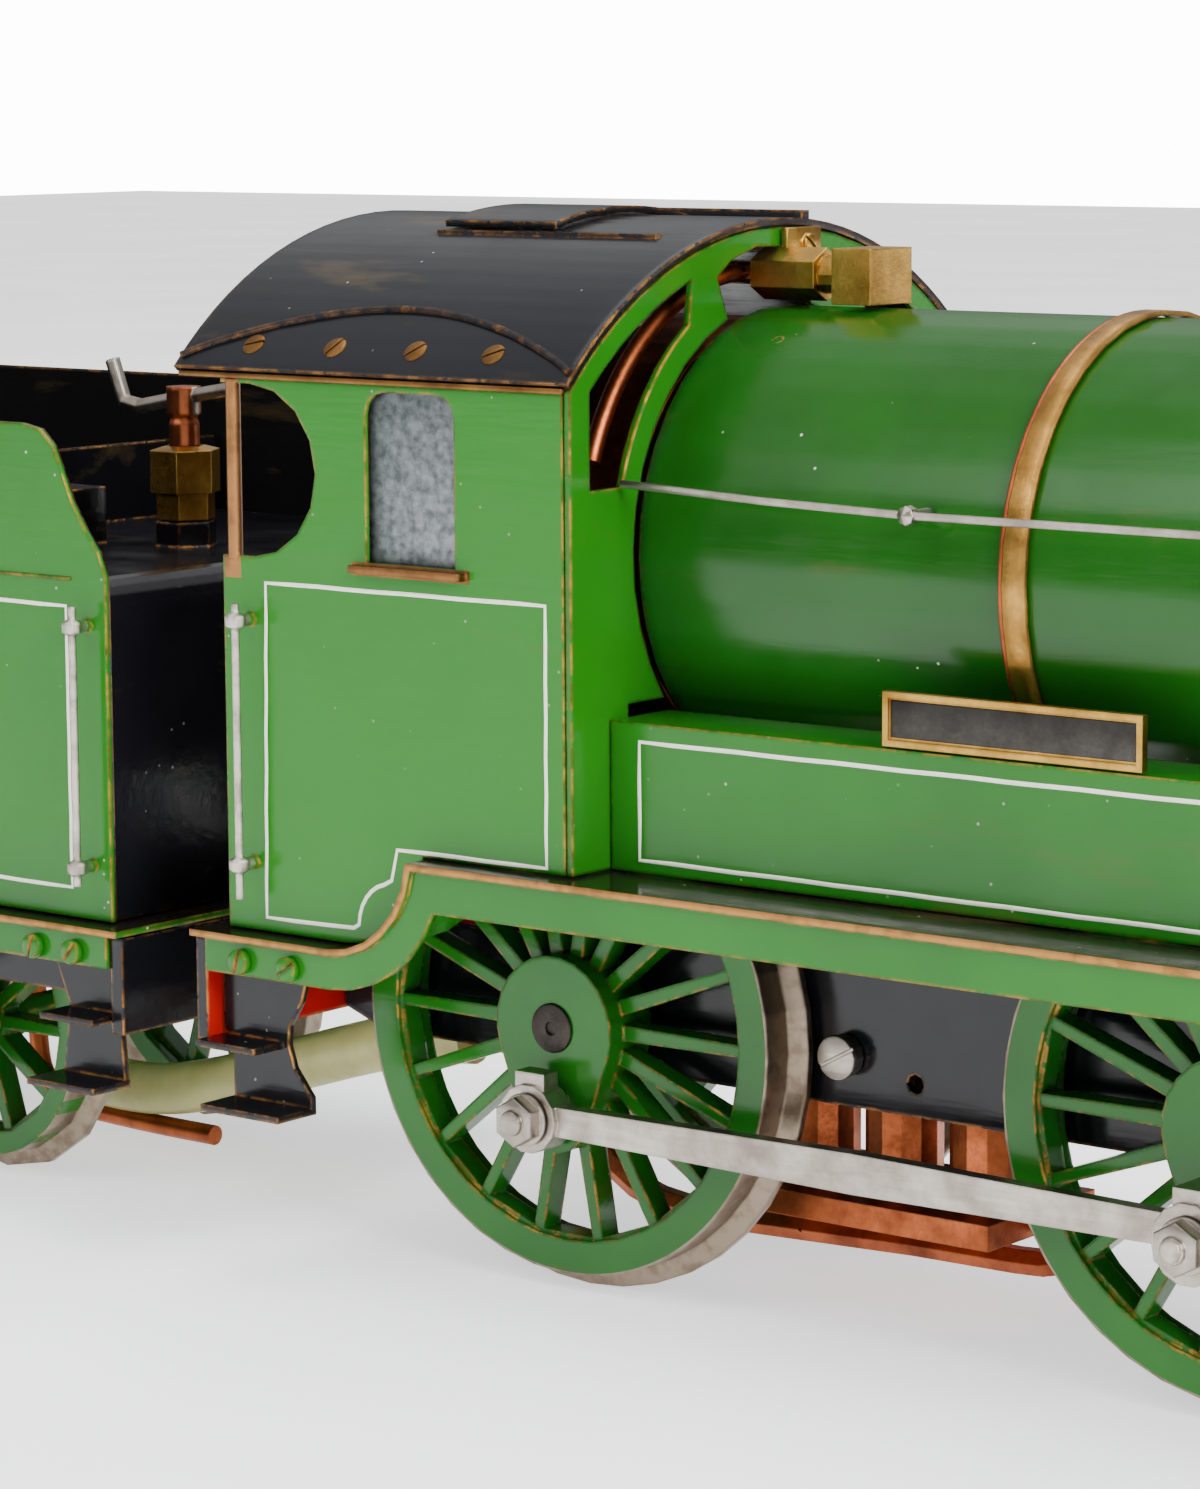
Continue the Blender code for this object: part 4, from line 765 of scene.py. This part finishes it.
class LOCO_OT_boiler(bpy.types.Operator):
    """Paints the boiler and smokebox, and fits the bands, rivets and mountings"""
    bl_idname = "loco.boiler"
    bl_label = "Boiler and smokebox"

    def execute(self, context):
        finish = context.scene.loco_finish
        radius = context.scene.loco_fittings.rivet_radius
        # Painted shade: the barrel's green is darker than the body green, standing in for the dark
        # reflection of the room on the glossy boiler.
        barrel = enamel("boiler_enamel", "#16540e", "#12430b", finish.wear - 0.1, "#dfe0c8", soft=2.6)
        dress(barrel, "boiler_barrel")
        dress(enamel("smokebox_enamel", finish.black, "#0b0b0e", finish.wear - 0.2, "#8f8a7c",
                     soft=2.6), "smokebox", "smokebox_door", "chimney")
        dress(brass(), "steam_union", "nameplate_right", "nameplate_left")
        dress(bare_metal("rolled_brass", "#c99a4e", "#7e5827", 0.3, soft=2.4), "boiler_band", "dome")
        dress(copper(), "boiler_backhead")
        dress(steel(), "boiler_handrail_right", "boiler_handrail_left", "regulator_handle")
        self.band("boiler_band_front", 184.2, 1.8)
        edge = wire([at(71.2, 31.0 * cos(a), BOILER_Z + 31.0 * sin(a))
                     for a in [2 * pi * i / 96 for i in range(96)]], 0.35, closed=True, sides=3)
        settle(edge, "band_joint", "locomotive", copper())
        places, normals = [], []
        for x in (188.6, 226.0):
            for i in range(44):
                turn = 2 * pi * i / 44
                out = Vector((0, cos(turn), sin(turn)))
                if out.z > -0.8:
                    places.append(at(x, 0, BOILER_Z) + out * 31.55 * MM)
                    normals.append(out)
        settle(rivets(places, normals, radius), "smokebox_rivets", "locomotive",
               black_enamel(finish), 50.0)
        lip = wire([at(208 + 8.5 * cos(a), 8.5 * sin(a), 145.6)
                    for a in [2 * pi * i / 48 for i in range(48)]], 0.9, closed=True, sides=4)
        settle(lip, "chimney_lip", "locomotive", brass(), 50.0)
        return {'FINISHED'}

    def band(self, name, x, reach):
        deselect()
        bpy.ops.mesh.primitive_cylinder_add(vertices=96, radius=30.85 * MM, depth=reach * MM,
                                            end_fill_type='NOTHING', location=at(x, 0, BOILER_Z),
                                            rotation=(0, pi / 2, 0))
        band = bpy.context.object
        wall = band.modifiers.new("wall", 'SOLIDIFY')
        wall.thickness = 0.5 * MM
        wall.offset = 1.0
        edge = band.modifiers.new("edge", 'BEVEL')
        edge.width = 0.15 * MM
        edge.segments = 2
        settle(band, name, "locomotive", brass())


class LOCO_OT_cab(bpy.types.Operator):
    """Paints the cab, and fits its windows, roof strips, screws and backhead fittings"""
    bl_idname = "loco.cab"
    bl_label = "Cab"

    def execute(self, context):
        finish = context.scene.loco_finish
        radius = context.scene.loco_fittings.screw_radius
        cab = enamel("cab_enamel", finish.green, "#1e6f13", finish.wear, bare=[
            (edge_mask(44.6), "#c9c0b4"),
            (box_mask((-21, -46, 93.2), (-1, 46, 94.9)), "#8a5f38"),
            (box_mask((-43.5, -46, 91.5), (-40.6, 46, 120)), "#a07146")],
            other=[(inner_mask(43.2), "#131212")])
        dress(cab, "cab_side_right", "cab_side_left")
        dress(green_enamel(finish), "cab_front")
        roof = enamel("roof_enamel", finish.black, "#0c0c10", finish.wear - 0.05, "#a9a49a", soft=1.8)
        dress(roof, "cab_roof", "roof_hatch")
        dress(black_enamel(finish), "cab_floor")
        # Foot of the roof sheet, above the rails.
        foot = (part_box("cab_roof")[0].z - AXLE.z) / MM + DRIVER_R
        for side, sign in SIDES:
            self.window(side, sign)
            self.roof_strip(side, sign, roof)
            screws = []
            for x, turn in ((-39.9, 0.3), (-25.6, 1.1), (-11.8, 0.8), (1.2, 0.5)):
                height = 122.3
                half = sqrt(60.8 ** 2 - (height - ROOF_Z) ** 2)
                facing = Vector((0, sign * half, height - ROOF_Z)).normalized()
                screws.append(slotted_screw(at(x, sign * half, height) + facing * -0.4 * MM,
                                            facing, radius, turn))
            settle(merge(screws), f"roof_screws_{side}", "locomotive", browned_brass())
            trim = rounded_bar((-50.8, sign * 43.2, foot - 0.6), (14.8, sign * 44.5, foot + 0.1), 0.15)
            settle(trim, f"roof_edge_{side}", "locomotive", browned_brass())
        self.bracket()
        arch = [at(9.8, 34.6 * cos(a), BOILER_Z + 34.6 * sin(a))
                for a in [radians(20 + 140 * i / 48) for i in range(49)]]
        settle(wire(arch, 1.2, sides=4), "boiler_arch", "locomotive", copper())
        self.backhead()
        return {'FINISHED'}

    def window(self, side, sign):
        panel = rounded_bar((-20.5, sign * 42.55, 93.5), (-1.6, sign * 41.9, 118.6), 0.2)
        settle(panel, f"window_panel_{side}", "locomotive", made_once("weathered_aluminium",
                                                                      window_metal))

    def roof_strip(self, side, sign, material):
        points = []
        for i in range(41):
            t = i / 40
            height = 120.6 + 6.6 * sin(pi * t) ** 0.85
            half = sqrt(ROOF_R ** 2 - (height - ROOF_Z) ** 2)
            points.append(at(-51.2 + 66.4 * t, sign * half, height))
        settle(wire(points, 0.5, sides=3), f"roof_strip_{side}", "locomotive", material)

    def bracket(self):
        plate = rounded_bar((15.9, -0.2, 132.6), (16.9, 7.4, 137.2), 0.15)
        screw = slotted_screw(at(16.9, 4.4, 135.1), (1, 0, 0), 1.3 * MM, 0.9)
        settle(merge([plate, screw]), "cab_front_bracket", "locomotive", brass())

    def backhead(self):
        face = -1.4
        parts = [disc(5.2, 2.4, 40, at(face - 0.8, -9, 117), (-1, 0, 0), 0.5),
                 disc(2.0, 3.0, 20, at(face - 0.8, 12.5, 86.5), (-1, 0, 0), 0.4),
                 disc(2.0, 3.0, 20, at(face - 0.8, 12.5, 104), (-1, 0, 0), 0.4),
                 disc(4.0, 1.6, 6, at(face, 0, 110.7 - 2.5), (-1, 0, 0), 0.3)]
        settle(merge(parts), "backhead_fittings", "locomotive", brass())
        dial = disc(4.3, 0.3, 40, at(face - 2.1, -9, 117), (-1, 0, 0), 0.05)
        settle(dial, "gauge_dial", "locomotive", made_once("lining_enamel", lambda: line_paint(
            bpy.context.scene.loco_finish.line_colour)))
        glass = wire([at(face - 2.4, 12.5, 86.5), at(face - 2.4, 12.5, 104)], 0.9, sides=4)
        settle(glass, "water_gauge_glass", "locomotive", steel())
        door = rounded_bar((face - 1.4, -7, 76.5), (face + 0.2, 7, 86), 0.6)
        settle(door, "fire_door", "locomotive", dark_iron())


class LOCO_OT_splashers(bpy.types.Operator):
    """Paints the splashers and gives their nameplates a dark field"""
    bl_idname = "loco.splashers"
    bl_label = "Splashers"

    def execute(self, context):
        finish = context.scene.loco_finish
        dress(green_enamel(finish), "splasher_right", "splasher_left")
        for side, sign in SIDES:
            field = rounded_bar((58.6, sign * 35.62, 77.8), (93.4, sign * 35.82, 82.4), 0.06)
            settle(field, f"nameplate_field_{side}", "locomotive", made_once(
                "dark_pewter", lambda: bare_metal("dark_pewter", "#4d4b47", "#34322f", 0.45)))
        return {'FINISHED'}


class LOCO_OT_lining(bpy.types.Operator):
    """Draws the off-white lines on the cab, splashers and tender"""
    bl_idname = "loco.lining"
    bl_label = "Lining"

    def execute(self, context):
        finish = context.scene.loco_finish
        paint = made_once("lining_enamel", lambda: line_paint(finish.line_colour))
        sweep = [(-15.2 - 5.4 * sin(a), 53.0 - 6.4 * (1 - cos(a))) for a in
                 [radians(10 + 75 * i / 6) for i in range(7)]]
        cab = [(-36.2, 91.2), (11.4, 91.3), (11.3, 57.9), (-13.7, 57.8), (-14.8, 53.6)]
        cab += sweep + [(-21.5, 46.6), (-37.0, 46.3)]
        splasher = [(20.4, 74.0), (141.5, 74.0), (141.5, 58.9), (20.4, 58.9)]
        tender = [(-73.5, 85.6), (-262.0, 85.6), (-262.0, 46.5), (-73.5, 46.5)]
        routes = (("cab", cab, 43.84, "locomotive"), ("splasher", splasher, 36.34, "locomotive"),
                  ("tender", tender, 43.84, "tender"))
        for label, route, half, body in routes:
            for side, sign in SIDES:
                painted_line(f"{label}_lining_{side}", route, sign * half, body,
                             finish.line_width, paint)
        return {'FINISHED'}


class LOCO_OT_tender(bpy.types.Operator):
    """Paints the tender, and fits its seams, spring leaves and screws"""
    bl_idname = "loco.tender"
    bl_label = "Tender"

    def execute(self, context):
        finish = context.scene.loco_finish
        black = black_enamel(finish)
        sides = enamel("tender_enamel", finish.green, "#1a6611", finish.wear,
                       bare=[(edge_mask(44.6), "#c9c0b4")],
                       other=[(inner_mask(43.2), "#131212")])
        dress(sides, "tender_side_right", "tender_side_left")
        dress(black, "tender_tank", "tender_frame_right", "tender_frame_left")
        dress(brass(), "tender_valve_body", "filler_lid")
        handle = enamel("valve_handle_metal", "#8e4a2c", "#70371f", 0.0, bare=[
            (box_mask((-90.2, -3, 104), (-70, 3, 120)), "#a39a90"),
            (box_mask((-115, -3, 104), (-95.0, 3, 120)), "#a39a90"),
            (box_mask((-95.0, -3, 90), (-90.2, 3, 120)), "#9c5636")])
        dress(handle, "tender_valve_handle")
        radius = context.scene.loco_fittings.screw_radius
        for side, sign in SIDES:
            facing = (0, sign, 0)
            screws = [slotted_screw(at(x, sign * 47.75, 38.4), facing, radius, turn)
                      for x, turn in ((-77.5, 1.3), (-70.0, 0.9))]
            settle(merge(screws), f"tender_screws_{side}", "tender", green_enamel(finish))
            self.springs(side, sign, black)
            seam = wire([at(x, sign * 43.85, 89.4) for x in (-262.5, -160, -72.5)], 0.28, sides=2)
            settle(seam, f"tender_seam_{side}", "tender", green_enamel(finish))
        return {'FINISHED'}

    def springs(self, side, sign, material):
        parts = []
        for axle_x in (-111.0, -176.0, -241.0):
            for i in range(5):
                reach = 15.0 - 2.3 * i
                leaf = [at(axle_x + reach * t, sign * 45.2,
                           35.2 - 1.0 * i - 2.2 * t * t * (reach / 15.0) ** 2 + 2.2)
                        for t in (-1, -0.6, -0.2, 0.2, 0.6, 1)]
                parts.append(wire(leaf, 0.55, sides=1))
            parts.append(rounded_bar((axle_x - 1.8, sign * 43.6, 29.5),
                                     (axle_x + 1.8, sign * 46.8, 38.2), 0.3))
        deselect()
        for part in parts:
            part.select_set(True)
        bpy.context.view_layer.objects.active = parts[0]
        bpy.ops.object.convert(target='MESH')
        settle(merge(parts), f"tender_springs_{side}", "tender", material)


class LOCO_PT_panel(bpy.types.Panel):
    """Shows the settings of the finish and fittings, and a button for each step"""
    bl_idname = "LOCO_PT_panel"
    bl_label = "Locomotive"
    bl_space_type = 'VIEW_3D'
    bl_region_type = 'UI'
    bl_category = "Locomotive"

    def draw(self, context):
        for settings in (context.scene.loco_finish, context.scene.loco_fittings):
            for key in settings.__annotations__:
                self.layout.prop(settings, key)
        for step in STEPS:
            self.layout.operator(step.bl_idname)


STEPS = (LOCO_OT_stage, LOCO_OT_wheels, LOCO_OT_frames, LOCO_OT_boiler, LOCO_OT_cab,
         LOCO_OT_splashers, LOCO_OT_lining, LOCO_OT_tender)
CLASSES = (FinishSettings, FittingSettings) + STEPS + (LOCO_PT_panel,)


def register():
    for cls in CLASSES:
        bpy.utils.register_class(cls)
    bpy.types.Scene.loco_finish = bpy.props.PointerProperty(type=FinishSettings)
    bpy.types.Scene.loco_fittings = bpy.props.PointerProperty(type=FittingSettings)


def unregister():
    del bpy.types.Scene.loco_fittings
    del bpy.types.Scene.loco_finish
    for cls in reversed(CLASSES):
        bpy.utils.unregister_class(cls)


def main():
    register()
    bpy.ops.loco.stage()
    bpy.ops.loco.wheels()
    bpy.ops.loco.frames()
    bpy.ops.loco.boiler()
    bpy.ops.loco.cab()
    bpy.ops.loco.splashers()
    bpy.ops.loco.lining()
    bpy.ops.loco.tender()


if __name__ == "__main__":
    main()
